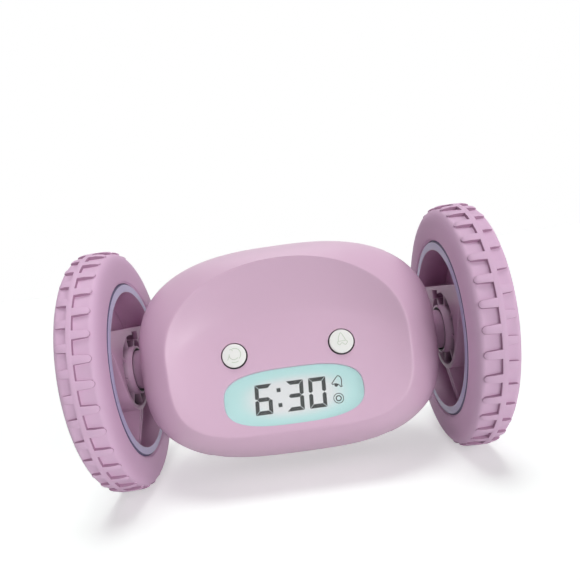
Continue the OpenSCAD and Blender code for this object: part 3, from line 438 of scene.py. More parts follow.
def front_lines(off, soft_edge):
    """For every angle, the points from the seam over the edge to near the middle of the face."""
    seam_y = SEAM - SEAM_GAP / 2
    front_y = off - FACE_DISTANCE
    depths = [seam_y + (front_y - seam_y) * (1 - (1 - k / SIDE_STEPS) ** 1.6) for k in range(SIDE_STEPS)]
    shares = [1 - 0.985 * (k / FACE_STEPS) ** 1.5 for k in range(FACE_STEPS + 1)]
    lines = []
    for angle in angles:
        line = [section_point(angle, y, off) for y in depths]
        line += [face_point(angle, s, off) for s in shares]
        lines.append(rounded(line, len(depths), edge_radius(angle)) if soft_edge else line)
    return lines


def rear_lines(off):
    """For every angle, the points from the seam to near the middle of the back."""
    start = SEAM + SEAM_GAP / 2
    turns = [math.sin(math.pi / 2 * k / REAR_STEPS) for k in range(REAR_STEPS)]
    depths = [start + (REAR_DEPTH - off - start) * turn for turn in turns]
    return [[section_point(angle, y, off) for y in depths] for angle in angles]


print("points on a line of the front skin:", SIDE_STEPS + FACE_STEPS + 1)

# %% Build the cups from rings


def skin(lines, tip):
    """Corners and faces of a stack of rings that ends in one closing point."""
    count = len(lines[0])
    vertices = [line[k] for k in range(count) for line in lines] + [tip]
    faces = []
    for ring in range(0, (count - 1) * AROUND, AROUND):
        for i in range(AROUND):
            a, b = ring + i, ring + (i + 1) % AROUND
            faces.append([a, b, b + AROUND, a + AROUND])
    last = (count - 1) * AROUND
    faces += [[last + i, last + (i + 1) % AROUND, count * AROUND] for i in range(AROUND)]
    return vertices, faces


def cup(name, outer, outer_tip, inner, inner_tip):
    """A closed wall from two skins of lines, joined round the open edge."""
    vertices, faces = skin(outer, outer_tip)
    other = len(vertices)
    inner_vertices, inner_faces = skin(inner, inner_tip)
    vertices += inner_vertices
    faces += [[other + corner for corner in reversed(face)] for face in inner_faces]
    for i in range(AROUND):
        j = (i + 1) % AROUND
        faces.append([j, i, other + i, other + j])
    piece = new_piece(name, vertices, faces, body_place)
    bm = bmesh.new()
    bm.from_mesh(piece.data)
    if bm.calc_volume(signed=True) < 0:
        bmesh.ops.reverse_faces(bm, faces=bm.faces)
    bm.to_mesh(piece.data)
    bm.free()
    return piece


front_tip = (0.0, face_sink(0, 0) - FACE_DISTANCE, 0.0)
front_shell = cup(
    "front_shell_skin",
    front_lines(0.0, True),
    front_tip,
    front_lines(WALL, False),
    (0.0, front_tip[1] + WALL, 0.0),
)
rear_shell = cup(
    "rear_shell_skin",
    rear_lines(0.0),
    (0.0, REAR_DEPTH, 0.0),
    rear_lines(WALL),
    (0.0, REAR_DEPTH - WALL, 0.0),
)
print("front and rear skins:", triangles(front_shell), triangles(rear_shell), "triangles")

# %% [markdown]
# ## Cutting the openings
#
# The mould leaves openings for the window, the two face buttons, the battery door and the bearings, and at
# the back for the keys, the screws and the speaker. Each opening is a simple solid that is taken away with
# one Boolean. Openings on the face are drawn on its own leaning plane: x across, z up it, y into the body.

# %% Solids to cut with
SHARP_FROM = 40  # an edge that turns by more degrees than this is shaded as sharp
FACE_LEAN = math.degrees(math.atan(DISH_DEPTH / (CREASE_SHARE * FACE_HEIGHT)))
face_plane = (
    body_place
    @ Matrix.Translation((0, -FACE_DISTANCE, -FACE_HEIGHT / 2))
    @ Matrix.Rotation(math.radians(-FACE_LEAN), 4, "X")
)


def oval(width, height, bulge=2.9, count=96):
    """An outline in (x, z) between an ellipse and a rectangle."""
    points = []
    for k in range(count):
        angle = 2 * math.pi * k / count
        r = reach(angle, width / 2, height / 2, (bulge, bulge))
        points.append((r * math.cos(angle), r * math.sin(angle)))
    return points


def prism(outline, y0, y1, place, at=(0.0, 0.0)):
    """An outline in (x, z) drawn out along y."""
    count = len(outline)
    vertices = [(x + at[0], y, z + at[1]) for y in (y0, y1) for x, z in outline]
    faces = [list(range(count)), list(range(2 * count - 1, count - 1, -1))]
    faces += [[(k + 1) % count, k, k + count, (k + 1) % count + count] for k in range(count)]
    piece = new_piece("prism", vertices, faces, place)
    turn_outwards(piece.data)
    return piece


def disc(radius, count=64):
    """A round outline."""
    return oval(2 * radius, 2 * radius, 2.0, count)


def rectangle(x0, z0, x1, z1):
    """An outline between two opposite corners."""
    return [(x0, z0), (x1, z0), (x1, z1), (x0, z1)]


def cut(piece, tools, operation="DIFFERENCE"):
    """Takes every tool away from the piece, or keeps what lies in it, and removes the tools."""
    for tool in tools:
        modifier = piece.modifiers.new("cut", "BOOLEAN")
        modifier.object, modifier.operation, modifier.solver = tool, operation, "EXACT"
    plain_mesh(piece)
    for tool in tools:
        bpy.data.objects.remove(tool)


# %% Openings of the front shell
WINDOW_WIDTH, WINDOW_HEIGHT, WINDOW_UP, WINDOW_GAP = 45.4, 18.4, 12.3, 0.1
EYE_X, EYE_UP, EYE_RADIUS, EYE_GAP = 0.388 * WINDOW_WIDTH, 27.4, 3.95, 0.42
BEARING_RADIUS, BEARING_FROM, BEARING_TO = 8.6, 44.0, 54.0
DOOR_X, DOOR_Y, DOOR_FOOT, DOOR_TOP = 32.0, 11.6, -38.0, -30.6
PAST = 3  # how far a tool reaches past the wall on both sides
sideways = Matrix.Rotation(math.radians(90), 4, "Z").inverted()
window_hole = oval(WINDOW_WIDTH + WINDOW_GAP, WINDOW_HEIGHT + WINDOW_GAP)
front_tools = [prism(window_hole, -PAST, WALL + PAST, face_plane, (0, WINDOW_UP))]
for side in (-1, 1):
    eye, bearing = disc(EYE_RADIUS + EYE_GAP), disc(BEARING_RADIUS)
    front_tools += [
        prism(eye, -PAST, WALL + PAST, face_plane, (side * EYE_X, EYE_UP)),
        prism(bearing, side * BEARING_FROM, side * BEARING_TO, body_place @ sideways),
    ]
door_hole = rectangle(-DOOR_X, DOOR_FOOT, DOOR_X, DOOR_TOP)
front_tools.append(prism(door_hole, -DOOR_Y, DOOR_Y, body_place))
cut(front_shell, front_tools)
smooth_by_angle(front_shell, SHARP_FROM)
print("front shell after cutting:", triangles(front_shell), "triangles")

# %% Openings of the rear shell
KEY_FLOOR, KEY_UP, KEY_XS, KEY_HOLE = 29.0, 10.0, (-16.5, -5.5, 5.5, 16.5), 2.8
TRAY_X, TRAY_FOOT, TRAY_TOP, TRAY_WALL = 25.5, 3.8, 16.2, 1.5
SPEAKER_TURN, SPEAKER_RADIUS, SPEAKER_FROM, SPEAKER_TO = 28.0, 10.0, 26.6, 40.6
SLOT_HALF, SLOT_STEP = 0.65, 3.4
SCREW_PLACES = [(x, z) for x in (-34.0, 34.0) for z in (-21.0, 21.0)]
SCREW_HOLE, SCREW_SIDES = 2.7, 40
speaker_place = body_place @ Matrix.Rotation(math.radians(-SPEAKER_TURN), 4, "X")


def tray_inside(set_back):
    """The outline inside the key tray's walls, which may stand a little behind the skin's opening."""
    inset = TRAY_WALL - set_back
    return rectangle(inset - TRAY_X, TRAY_FOOT + inset, TRAY_X - inset, TRAY_TOP - inset)


rear_tools = [prism(tray_inside(0.0), KEY_FLOOR, REAR_DEPTH + 1, body_place)]
for row in range(-2, 3):
    half = math.sqrt(SPEAKER_RADIUS**2 - (row * SLOT_STEP) ** 2)
    slot = rectangle(-half, -SLOT_HALF, half, SLOT_HALF)
    rear_tools.append(prism(slot, SPEAKER_FROM, SPEAKER_TO, speaker_place, (0, -row * SLOT_STEP)))
for at in SCREW_PLACES:
    rear_tools.append(prism(disc(SCREW_HOLE, SCREW_SIDES), SEAM + 4, REAR_DEPTH, body_place, at))
cut(rear_shell, rear_tools)
smooth_by_angle(rear_shell, SHARP_FROM)
print("rear shell after cutting:", triangles(rear_shell), "triangles")

# %% [markdown]
# Behind the openings of the rear shell the moulding goes on: a shallow tray that carries the four setting
# keys, and four tubes that the shell's screws sit in. They are drawn as plain blocks, kept to what lies
# under the outer skin by a Boolean with the body's own form, and then hollowed.

# %% The key tray and the screw wells
SET_BACK = 0.15  # the tray's walls and the wells stand this far behind the edges of the skin's openings
WELL_FLOOR, WELL_RADIUS, WELL_BORE = 17.5, 3.4, SCREW_HOLE + SET_BACK
UNDER_SKIN = 0.4


def joined(pieces):
    """Several loose pieces as the parts of one mesh."""
    with bpy.context.temp_override(active_object=pieces[0], selected_editable_objects=pieces):
        bpy.ops.object.join()
    return pieces[0]


tray = rectangle(-TRAY_X, TRAY_FOOT, TRAY_X, TRAY_TOP)
blocks = [prism(tray, KEY_FLOOR - WALL, REAR_DEPTH, body_place)]
for at in SCREW_PLACES:
    blocks.append(prism(disc(WELL_RADIUS, 48), WELL_FLOOR - WALL, REAR_DEPTH, body_place, at))
rear_inner = joined(blocks)
rear_inner.name = "rear_shell_inner"
vertices, faces = skin(rear_lines(UNDER_SKIN), (0, REAR_DEPTH - UNDER_SKIN, 0))
form = new_piece("form", vertices, [list(range(AROUND))] + [face[::-1] for face in faces], body_place)
turn_outwards(form.data)
cut(rear_inner, [form], "INTERSECT")
hollows = [prism(tray_inside(SET_BACK), KEY_FLOOR, REAR_DEPTH + 1, body_place)]
for x in KEY_XS:
    key_hole = disc(KEY_HOLE, SCREW_SIDES)
    hollows.append(prism(key_hole, KEY_FLOOR - WALL - 1, REAR_DEPTH, body_place, (x, KEY_UP)))
for at in SCREW_PLACES:
    hollows.append(prism(disc(WELL_BORE, SCREW_SIDES), WELL_FLOOR, REAR_DEPTH + 1, body_place, at))
cut(rear_inner, hollows)
smooth_by_angle(rear_inner, SHARP_FROM)
print("inner part of the rear shell:", triangles(rear_inner), "triangles")

for piece in (front_shell, rear_shell, rear_inner):
    dress(piece, shell_lilac)

# %% [markdown]
# ## Tyres by Geometry Nodes
#
# Each tyre is one moulding: a rounded tube with a rib round its middle and a row of round-ended lugs on
# each side of the rib, set half a step apart. That is a rule, so a node tree makes it. The modifier's own
# mesh is the tyre's section, a closed line of points, which is swept round a circle. A second mesh, one
# lug, is set on evenly spaced points round the same circle, once for each side.

# %% The tyre's section
TYRE_RADIUS, TYRE_WIDTH, TREAD_DEPTH, HALF_TRACK = 43.0, 13.8, 1.1, 61.2
LUG_COUNT, LUG_WIDTH, LUG_REACH, LUG_TURN = 36, 3.0, 5.35, -2.5
RIB_WIDTH, RIB_OUT, SHOULDER_WIDTH = 1.9, 0.8, 2.6
RIM_RADIUS, SEAT_RADIUS, LIP_RADIUS, RIM_WIDTH, LIP_WIDTH = 28.4, 29.9, 31.4, 12.6, 1.9
SHOULDER = TYRE_RADIUS - TREAD_DEPTH
LIP_GAP, LIP_LAND, WALL_START = 0.15, 0.5, 0.6  # from the rim's lip to the bead and to the side wall
LOW_STEPS, HIGH_STEPS = 9, 14  # steps from the lip to the widest part, and on to the shoulder
SWELL, LOW_POWER, HIGH_POWER = 0.8, 0.7, 0.85  # how far and how roundly the side wall swells


def tyre_section():
    """Points (radius, across) round the tyre's section, starting at the inner bead."""
    middle, low, half = (LIP_RADIUS + SHOULDER) / 2, LIP_RADIUS + WALL_START, TYRE_WIDTH / 2
    wall = [
        (SEAT_RADIUS, RIM_WIDTH / 2 - LIP_WIDTH),
        (LIP_RADIUS + LIP_GAP, RIM_WIDTH / 2 - LIP_WIDTH),
        (LIP_RADIUS + LIP_GAP, RIM_WIDTH / 2 - LIP_LAND),
    ]
    for k in range(LOW_STEPS):
        t = math.pi / 2 * k / LOW_STEPS
        out = half - SWELL + SWELL * math.sin(t) ** LOW_POWER
        wall.append((middle - (middle - low) * math.cos(t), out))
    for k in range(HIGH_STEPS + 1):
        t = math.pi / 2 * k / HIGH_STEPS
        fall = SHOULDER_WIDTH * (1 - max(0.0, math.cos(t)) ** HIGH_POWER)
        wall.append((middle + (SHOULDER - middle) * math.sin(t) ** HIGH_POWER, half - fall))
    # The rib, with a small fillet at its foot and rounded upper edges
    rib = []
    half = RIB_WIDTH / 2
    for side in (-1, 1):
        edge = [
            (SHOULDER, half + 0.25),
            (SHOULDER + 0.1, half + 0.06),
            (TYRE_RADIUS - 0.25, half),
            (TYRE_RADIUS - 0.07, half - 0.08),
            (TYRE_RADIUS, half - 0.28),
        ]
        edge = [(r, RIB_OUT + side * a) for r, a in edge]
        rib += edge if side < 0 else edge[::-1]
    return [(r, -a) for r, a in wall] + rib + wall[::-1]


section = tyre_section()
print("section points:", len(section))

# %% [markdown]
# A lug is a short bar whose free end is half round. It is an outline seen from above, repeated at four
# heights: the foot inside the tyre, the top of the straight wall, and two that round off the upper edge.

# %% One lug
LUG_TIP = LUG_WIDTH * 0.4  # radius of the round end
LUG_ROOT, BELOW_RIB, CROWN_FALL = 1.5, 0.02, 0.75
LUG_LEVELS = [(0.0, None), (0.0, 0.3), (0.07, 0.1), (0.24, 0.0)]  # inset and drop, from the foot up


def lug_mesh(root):
    """One lug about the Z axis at angle 0: x out from the axle, y along the tread, z from root to tip."""
    tip, half = LUG_TIP, LUG_WIDTH / 2

    def crown(across):
        """Height of the lug's top, falling off towards its tip."""
        past = max(0.0, across - LUG_REACH / 2) / (LUG_REACH / 2)
        return TYRE_RADIUS - BELOW_RIB - CROWN_FALL * past**2

    middle = LUG_REACH - tip
    outline = [(root + (middle - root) * k / 3, -half + (half - tip) * k / 3) for k in range(3)]
    outline += [
        (middle + tip * math.cos(a), tip * math.sin(a)) for a in (math.radians(d) for d in range(-90, 91, 18))
    ]
    outline += [(z, -y) for z, y in reversed(outline[:3])]
    vertices, faces = [], []
    for inset, drop in LUG_LEVELS:
        for z, y in outline:
            dz, dy = z - min(z, middle), y
            size = math.hypot(dz, dy) or 1.0
            pz, py = z - inset * dz / size, y - inset * dy / size
            out = SHOULDER - LUG_ROOT if drop is None else crown(pz) - drop
            vertices.append((out, py, pz))
    count = len(outline)
    for level in range(len(LUG_LEVELS) - 1):
        for k in range(count):
            a, b = level * count + k, level * count + (k + 1) % count
            faces.append([a, b, b + count, a + count])
    for first, last in ((0, count - 1), (len(vertices) - count, len(vertices) - 1)):
        a, b = first, last
        while b - a > 2:
            faces.append([a, a + 1, b - 1, b])
            a, b = a + 1, b - 1
        if b - a == 2:
            faces.append([a, a + 1, b])
    mesh = bpy.data.meshes.new("lug")
    mesh.from_pydata([Vector(v) * MM for v in vertices], [], faces)
    turn_outwards(mesh)
    return mesh


lugs = {}
for row, root in (("Outer lug", RIB_OUT), ("Inner lug", -RIB_OUT)):
    lugs[row] = new_object("lug", lug_mesh(root))
    print(row, "triangles:", triangles(lugs[row]))

# %% [markdown]
# The tree takes the section, the two lugs and their number as inputs. Points that all lie on the axle, one
# for each lug, carry a copy turned by its share of the circle. Realizing the copies at the end makes the
# whole tyre one mesh, which an export can hold.

# %% The tyre's node tree
ROUND_STEPS = 304


def tyre_tree():
    """A tube swept round the axle, with a row of lugs on each side of its rib."""
    tree = bpy.data.node_groups.new("treaded_tyre", "GeometryNodeTree")
    for name, kind, value in (
        ("Section", "Geometry", None),
        ("Outer lug", "Object", None),
        ("Inner lug", "Object", None),
        ("Lug count", "Int", LUG_COUNT),
        ("First lug", "Float", 0.0),
        ("Bead radius", "Float", SEAT_RADIUS * MM),
        ("Material", "Material", None),
    ):
        socket = tree.interface.new_socket(name=name, in_out="INPUT", socket_type="NodeSocket" + kind)
        if value is not None:
            socket.default_value = value
    tree.interface.new_socket(name="Tyre", in_out="OUTPUT", socket_type="NodeSocketGeometry")
    given = add_node(tree, "NodeGroupInput").outputs
    # The tube: the section swept round a circle in the plane across the axle
    circle = add_node(
        tree, "GeometryNodeCurvePrimitiveCircle", Radius=given["Bead radius"], Resolution=ROUND_STEPS
    )
    line = add_node(tree, "GeometryNodeMeshToCurve", Mesh=given["Section"])
    tube = add_node(
        tree, "GeometryNodeCurveToMesh", Curve=circle.outputs["Curve"], Profile_Curve=line.outputs["Curve"]
    )
    smooth = add_node(tree, "GeometryNodeSetShadeSmooth", Geometry=tube.outputs["Mesh"])
    # The lugs: a copy on each of the points, turned about the axle, the outer row half a step further
    rows = []
    for row, start, flip in (("Outer lug", 0.5, 0.0), ("Inner lug", 0.0, math.pi)):
        lug = add_node(tree, "GeometryNodeObjectInfo", Object=given[row])
        points = add_node(tree, "GeometryNodeMeshLine", Count=given["Lug count"], Offset=(0, 0, 0))
        step = math_node(tree, "ADD", add_node(tree, "GeometryNodeInputIndex").outputs[0], start)
        share = math_node(tree, "DIVIDE", step, given["Lug count"])
        turn = math_node(tree, "ADD", math_node(tree, "MULTIPLY", share, 2 * math.pi), given["First lug"])
        setting = add_node(
            tree,
            "GeometryNodeInstanceOnPoints",
            Points=points.outputs["Mesh"],
            Instance=lug.outputs["Geometry"],
            Rotation=add_node(tree, "ShaderNodeCombineXYZ", X=flip, Z=turn).outputs[0],
        )
        rows.append(setting.outputs["Instances"])
    together = add_node(tree, "GeometryNodeJoinGeometry")
    for source in (rows[1], rows[0], smooth.outputs["Geometry"]):
        tree.links.new(source, together.inputs["Geometry"])
    real = add_node(tree, "GeometryNodeRealizeInstances", Geometry=together.outputs["Geometry"])
    painted = add_node(
        tree, "GeometryNodeSetMaterial", Geometry=real.outputs["Geometry"], Material=given["Material"]
    )
    add_node(tree, "NodeGroupOutput", Tyre=painted.outputs["Geometry"])
    return tree


tread = tyre_tree()
print("nodes in the tyre's tree:", len(tread.nodes))

# %% [markdown]
# Each wheel gets its own run of the tree, laid flat round Z and then turned onto its end of the axle. The
# grooves of a tyre look darker than its lugs because they lie in shade, so that shade is painted onto the
# steep walls of the tread as their own darker finish.

# %% Sweep and stud both tyres
SIDES = ((-1, "left"), (1, "right"))


def set_input(modifier, name, value):
    """Sets a tree's input by its socket's identifier."""
    for item in modifier.node_group.interface.items_tree:
        if item.item_type == "SOCKET" and item.in_out == "INPUT" and item.name == name:
            modifier[item.identifier] = value


def wheel_end(side):
    """Turns what is drawn about Z into a wheel on one end of the axle: x goes up, z goes outwards."""
    turned = Matrix(((0, 0, side, 0), (0, -side, 0, 0), (1, 0, 0, 0), (0, 0, 0, 1)))
    across = Matrix.Translation((side * HALF_TRACK, 0, 0)) @ turned
    place = wheel_place @ across
    return Matrix.Translation(place.translation * MM) @ place.to_3x3().to_4x4()


def tyre(side, name):
    """Sweeps and studs one tyre, then puts it on its end of the axle."""
    mesh = bpy.data.meshes.new(name)
    # The sweep turns the section's second axis to the wheel's inner side, so it is written turned round
    corners = [((radius - SEAT_RADIUS) * MM, -across * MM, 0.0) for radius, across in section]
    mesh.from_pydata(corners, [(k, (k + 1) % len(corners)) for k in range(len(corners))], [])
    piece = new_object(name, mesh)
    modifier = piece.modifiers.new("treaded_tyre", "NODES")
    modifier.node_group = tread
    for row, lug in lugs.items():
        set_input(modifier, row, lug)
    set_input(modifier, "Lug count", LUG_COUNT)
    set_input(modifier, "First lug", side * math.radians(LUG_TURN))
    set_input(modifier, "Material", tyre_rubber)
    plain_mesh(piece)
    piece.data.transform(wheel_end(side))
    turn_outwards(piece.data)
    # Painted shade on the steep walls of the tread.
    paint_where(piece, tread_shade, tread_wall)
    smooth_by_angle(piece, 35)
    return piece


TREAD_FOOT, STEEP = 0.6, 0.45


def tread_wall(corners, normal):
    """True on the steep sides of the lugs and the rib, which get painted shade and a duller finish."""
    middle = sum(corners, Vector()) / len(corners)
    out = Vector((0, middle.y, middle.z - AXLE_HEIGHT))
    return out.length > SHOULDER - TREAD_FOOT and abs(out.normalized().dot(normal)) < STEEP


tyres = {}
for side, word in SIDES:
    tyres[word] = tyre(side, word + "_tyre_tread")
    print(word, "tyre:", triangles(tyres[word]), "triangles")
for lug in lugs.values():
    bpy.data.objects.remove(lug)

# %% [markdown]
# Each new piece is attached to the body that it moves with, and the imported part that it stands for is
# hidden. The imported part stays in the model for collision and is no longer seen.

# %% What the tyres and shells ride on and stand for
for side, word in SIDES:
    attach(tyres[word], word + "_wheel")
    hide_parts(word + "_tyre")
shells = ((front_shell, "front_shell"), (rear_shell, "rear_shell"), (rear_inner, "rear_shell"))
for piece, node in shells:
    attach(piece, "body")
    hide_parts(node)
print("tyres and shells:", len(tyres) + len(shells))

# %% [markdown]
# ## Moulded pieces with softened edges
#
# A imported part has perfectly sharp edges, while a moulded one never has. A copy of the part's mesh is
# merged into one skin, its flat faces are joined, and a narrow bevel is run along every real edge, which
# catches the light as the mould's small radius does.

# %% Soften a copy of a part
EDGE_ANGLE, EDGE_SEGMENTS = 35, 2
SAME_POINT, FLAT_WITHIN, SOFT_SHARP_FROM = 1e-6, 0.6, 32
body_nodes = frame["record"]["behaviour"]["bodies"]


def softened(node, width, material):
    """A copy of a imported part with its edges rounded, standing for that part."""
    mesh = nodes[node].data.copy()
    mesh.name = node + "_soft"
    mesh.materials.clear()
    bm = bmesh.new()
    bm.from_mesh(mesh)
    bmesh.ops.remove_doubles(bm, verts=bm.verts, dist=SAME_POINT)
    bmesh.ops.dissolve_limit(
        bm, angle_limit=math.radians(FLAT_WITHIN), verts=bm.verts, edges=bm.edges
    )
    bm.to_mesh(mesh)
    bm.free()
    piece = new_object(node + "_soft", mesh)
    bevel = piece.modifiers.new("edge", "BEVEL")
    bevel.width, bevel.segments = width * MM, EDGE_SEGMENTS
    bevel.limit_method, bevel.angle_limit = "ANGLE", math.radians(EDGE_ANGLE)
    plain_mesh(piece)
    dress(piece, material)
    smooth_by_angle(piece, SOFT_SHARP_FROM)
    body = next(name for name, members in body_nodes.items() if node in members)
    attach(piece, body)
    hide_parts(node)
    return piece


print("edges above", EDGE_ANGLE, "degrees get", EDGE_SEGMENTS, "segments")

# %% [markdown]
# A few faces get a second finish: the rim's outermost ring is a paler lavender with a shaded outer edge, and
# the foot of a face button, down in its hole, is painted dark as painted shade. A small test on the corners of
# a face picks them.

# %% The moulded pieces
LIP_STEP, LIP_CHAMFER, SKIN_DEPTH = 0.02, 0.5, 0.3


def nearest(corners):
    """A face's least distance from the axle."""
    return min(math.hypot(corner.y, corner.z - AXLE_HEIGHT) for corner in corners)


def beyond_lip(corners, normal):
    """True on the rim's outermost ring."""
    return nearest(corners) > RIM_RADIUS + LIP_STEP


def lip_edge(corners, normal):
    """True on the outer edge of that ring, where it meets the rubber."""
    return nearest(corners) > LIP_RADIUS - LIP_CHAMFER


def below_skin(corners, normal):
    """True on the part of a face button that lies behind the skin of the face."""
    return max((face_plane.inverted() @ c).y for c in corners) > SKIN_DEPTH


for side, word in SIDES:
    # The rim's hub carries painted shade in its deep pockets.
    rim = softened(word + "_rim", 0.22, hub_lilac)
    paint_where(rim, rim_lavender, beyond_lip)
    paint_where(rim, lip_shade, lip_edge)
    softened(word + "_hub_cover", 0.25, wheel_lilac)
    softened(word + "_axle_bearing", 0.2, wheel_lilac)
for node in ("snooze_button", "alarm_button"):
    # Painted shade on the foot of each face button, below the face's skin.
    paint_where(softened(node, 0.12, button_white), button_foot, below_skin)
for node in ("hour_key", "minute_key", "wake_time_key", "wheel_setting_key"):
    softened(node, 0.15, button_white)
door = softened("battery_door", 0.15, shell_lilac)
print("triangles of a rim:", triangles(rim), "and of the battery door:", triangles(door))

# %% [markdown]
# ## The display
#
# Behind the clear window lies the panel. It is mint at the border and fades softly into a pale grey middle,
# where the dark figures stand; most of that colour is given as glow, painted light that keeps the panel evenly
# bright and free of shadow. The fade follows the window's own oval, so the material works out each point's
# place in that oval from its coordinates and lets a soft ramp choose the colour.

# %% The panel's finish and the clear window
PANEL_GLOW, OVAL_POWER, FADE_FROM, FADE_TO = 0.7, 2.6, 0.45, 0.88
panel_light = finish("panel_light", seen(183, 223, 222), 0.35, tone=0.0, grain=0.0)
tree = panel_light.node_tree
# Painted light: the glow keeps the panel evenly bright, with no shadow from the window's frame.
shader = set_shader(panel_light, Emission_Strength=PANEL_GLOW)
tree.links.remove(shader.inputs["Base Color"].links[0])
middle = face_plane @ Vector((0, 0, WINDOW_UP))
window_half = (WINDOW_WIDTH / 2 * MM, 1.0, WINDOW_HEIGHT / 2 * MM)
where = add_node(tree, "ShaderNodeTexCoord").outputs["Object"]
from_middle = math_node(tree, "SUBTRACT", where, middle * MM, "ShaderNodeVectorMath")
flat = add_node(tree, "ShaderNodeVectorRotate", rotation_type="X_AXIS", Vector=from_middle)
flat.inputs["Angle"].default_value = math.radians(BODY_LEAN + FACE_LEAN)
size = math_node(tree, "DIVIDE", flat.outputs[0], window_half, "ShaderNodeVectorMath")
parts = add_node(tree, "ShaderNodeSeparateXYZ", Vector=size)
powers = [
    math_node(tree, "POWER", math_node(tree, "ABSOLUTE", parts.outputs[axis]), OVAL_POWER)
    for axis in ("X", "Z")
]
share = math_node(tree, "POWER", math_node(tree, "ADD", *powers), 1 / OVAL_POWER)
ramp = add_node(tree, "ShaderNodeValToRGB", Fac=share)
ramp.color_ramp.interpolation = "EASE"
for stop, position, colour in zip(
    ramp.color_ramp.elements, (FADE_FROM, FADE_TO), (seen(224, 225, 227), seen(183, 224, 223))
):
    stop.position, stop.color = position, colour
unlit = add_node(
    tree, "ShaderNodeVectorMath", operation="SCALE", Vector=ramp.outputs["Color"], Scale=1 - PANEL_GLOW
)
tree.links.new(unlit.outputs[0], shader.inputs["Base Color"])
tree.links.new(ramp.outputs["Color"], shader.inputs["Emission Color"])

window_clear = finish("window_clear", seen(235, 250, 248), 0.06, tone=0.0, grain=0.0)
set_shader(window_clear, Alpha=0.03)
print("panel's middle in mm:", [round(v, 2) for v in middle])

# %% [markdown]
# ## Small signs
#
# Beside the figures stand a little bell and a ring, and each face button carries a faint sign: a turning
# arrow for snooze and a bell for the alarm. On the real clock they are part of the display and a thin
# print. Each is drawn as a few smooth strokes on the face's plane, x across and z up.

# %% Helpers for strokes


def smooth_line(points, steps=6):
    """A smooth line through given points, which leaves each one along its neighbours."""
    ends = [points[0], *points, points[-1]]
    line = []
    for k in range(len(points) - 1):
        a, b, c, d = (np.array(p, dtype=float) for p in ends[k : k + 4])
        for t in (j / steps for j in range(steps)):
            pull = (2 * a - 5 * b + 4 * c - d) * t**2 / 2 + (3 * b - a - 3 * c + d) * t**3 / 2
            line.append(tuple(b + (c - a) * t / 2 + pull))
    return line + [points[-1]]


def arc(x, z, radius, first, last, count=24):
    """A part of a circle, from one angle in degrees to another."""
    turns = [math.radians(first + (last - first) * k / count) for k in range(count + 1)]
    return [(x + radius * math.cos(t), z + radius * math.sin(t)) for t in turns]


def moved(line, x, z):
    """The same line at another place."""
    return [(across + x, up + z) for across, up in line]


def sign(name, strokes, y0, y1, material, body):
    """Strokes (line, width, closed) as thin strips between two depths on the face's plane."""
    vertices, faces = [], []
    for line, width, closed in strokes:
        first, count = len(vertices), len(line)
        for k, (x, z) in enumerate(line):
            before = line[k - 1] if k or closed else line[0]
            after = line[(k + 1) % count] if k < count - 1 or closed else line[-1]
            along = Vector((after[0] - before[0], after[1] - before[1])).normalized() * width / 2
            for nx, nz in ((-along.y, along.x), (along.y, -along.x)):
                vertices += [(x + nx, y, z + nz) for y in (y0, y1)]
        for k in range(count if closed else count - 1):
            a, b = first + 4 * k, first + 4 * ((k + 1) % count)
            faces += [[a, b, b + 2, a + 2], [a + 1, a + 3, b + 3, b + 1]]
            faces += [[a, a + 1, b + 1, b], [a + 2, b + 2, b + 3, a + 3]]
        if not closed:
            a, b = first, first + 4 * (count - 1)
            faces += [[a, a + 2, a + 3, a + 1], [b, b + 1, b + 3, b + 2]]
    piece = new_piece(name, vertices, faces, face_plane)
    turn_outwards(piece.data)
    dress(piece, material)
    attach(piece, body)
    print(name + ":", len(strokes), "strokes,", triangles(piece), "triangles")


# %% The signs on the two buttons
PRINT_FROM, PRINT_TO = -0.92, -0.85  # the print stands 0.02 mm proud of the buttons' tops
bell_side = [(-1.35, -0.3), (-0.95, 0.2), (-0.85, 1.1), (0.05, 2.75), (1.0, 1.1), (1.35, 0.2), (1.9, -0.3)]
bell_foot = [(-1.35, -0.3), (-1.2, -0.85), (-0.7, -1.2), (0.1, -0.6), (1.1, -1.3), (1.7, -0.85), (1.9, -0.3)]
bell = [
    (smooth_line(bell_side), 0.22, False),
    (smooth_line(bell_foot), 0.22, False),
    ([(-0.95, 0.0), (1.3, 0.0)], 0.2, False),
]
turning_arrow = [
    (arc(0.25, 0.35, 2.0, 110, -50), 0.22, False),
    (arc(0.0, 0.2, 1.55, 165, 320), 0.22, False),
    (arc(0.1, 0.2, 2.5, 245, 300, 10), 0.2, False),
    ([(-1.3, 2.0), (-0.7, 2.2), (-0.3, 1.55)], 0.2, False),
    ([(-2.2, -1.3), (-1.75, -0.5), (-1.5, 0.5)], 0.2, False),
]
for button, strokes, x in (("alarm_button", bell, EYE_X), ("snooze_button", turning_arrow, -EYE_X)):
    printed = [(moved(line, x, EYE_UP), width, closed) for line, width, closed in strokes]
    sign(button + "_sign", printed, PRINT_FROM, PRINT_TO, sign_grey, button)

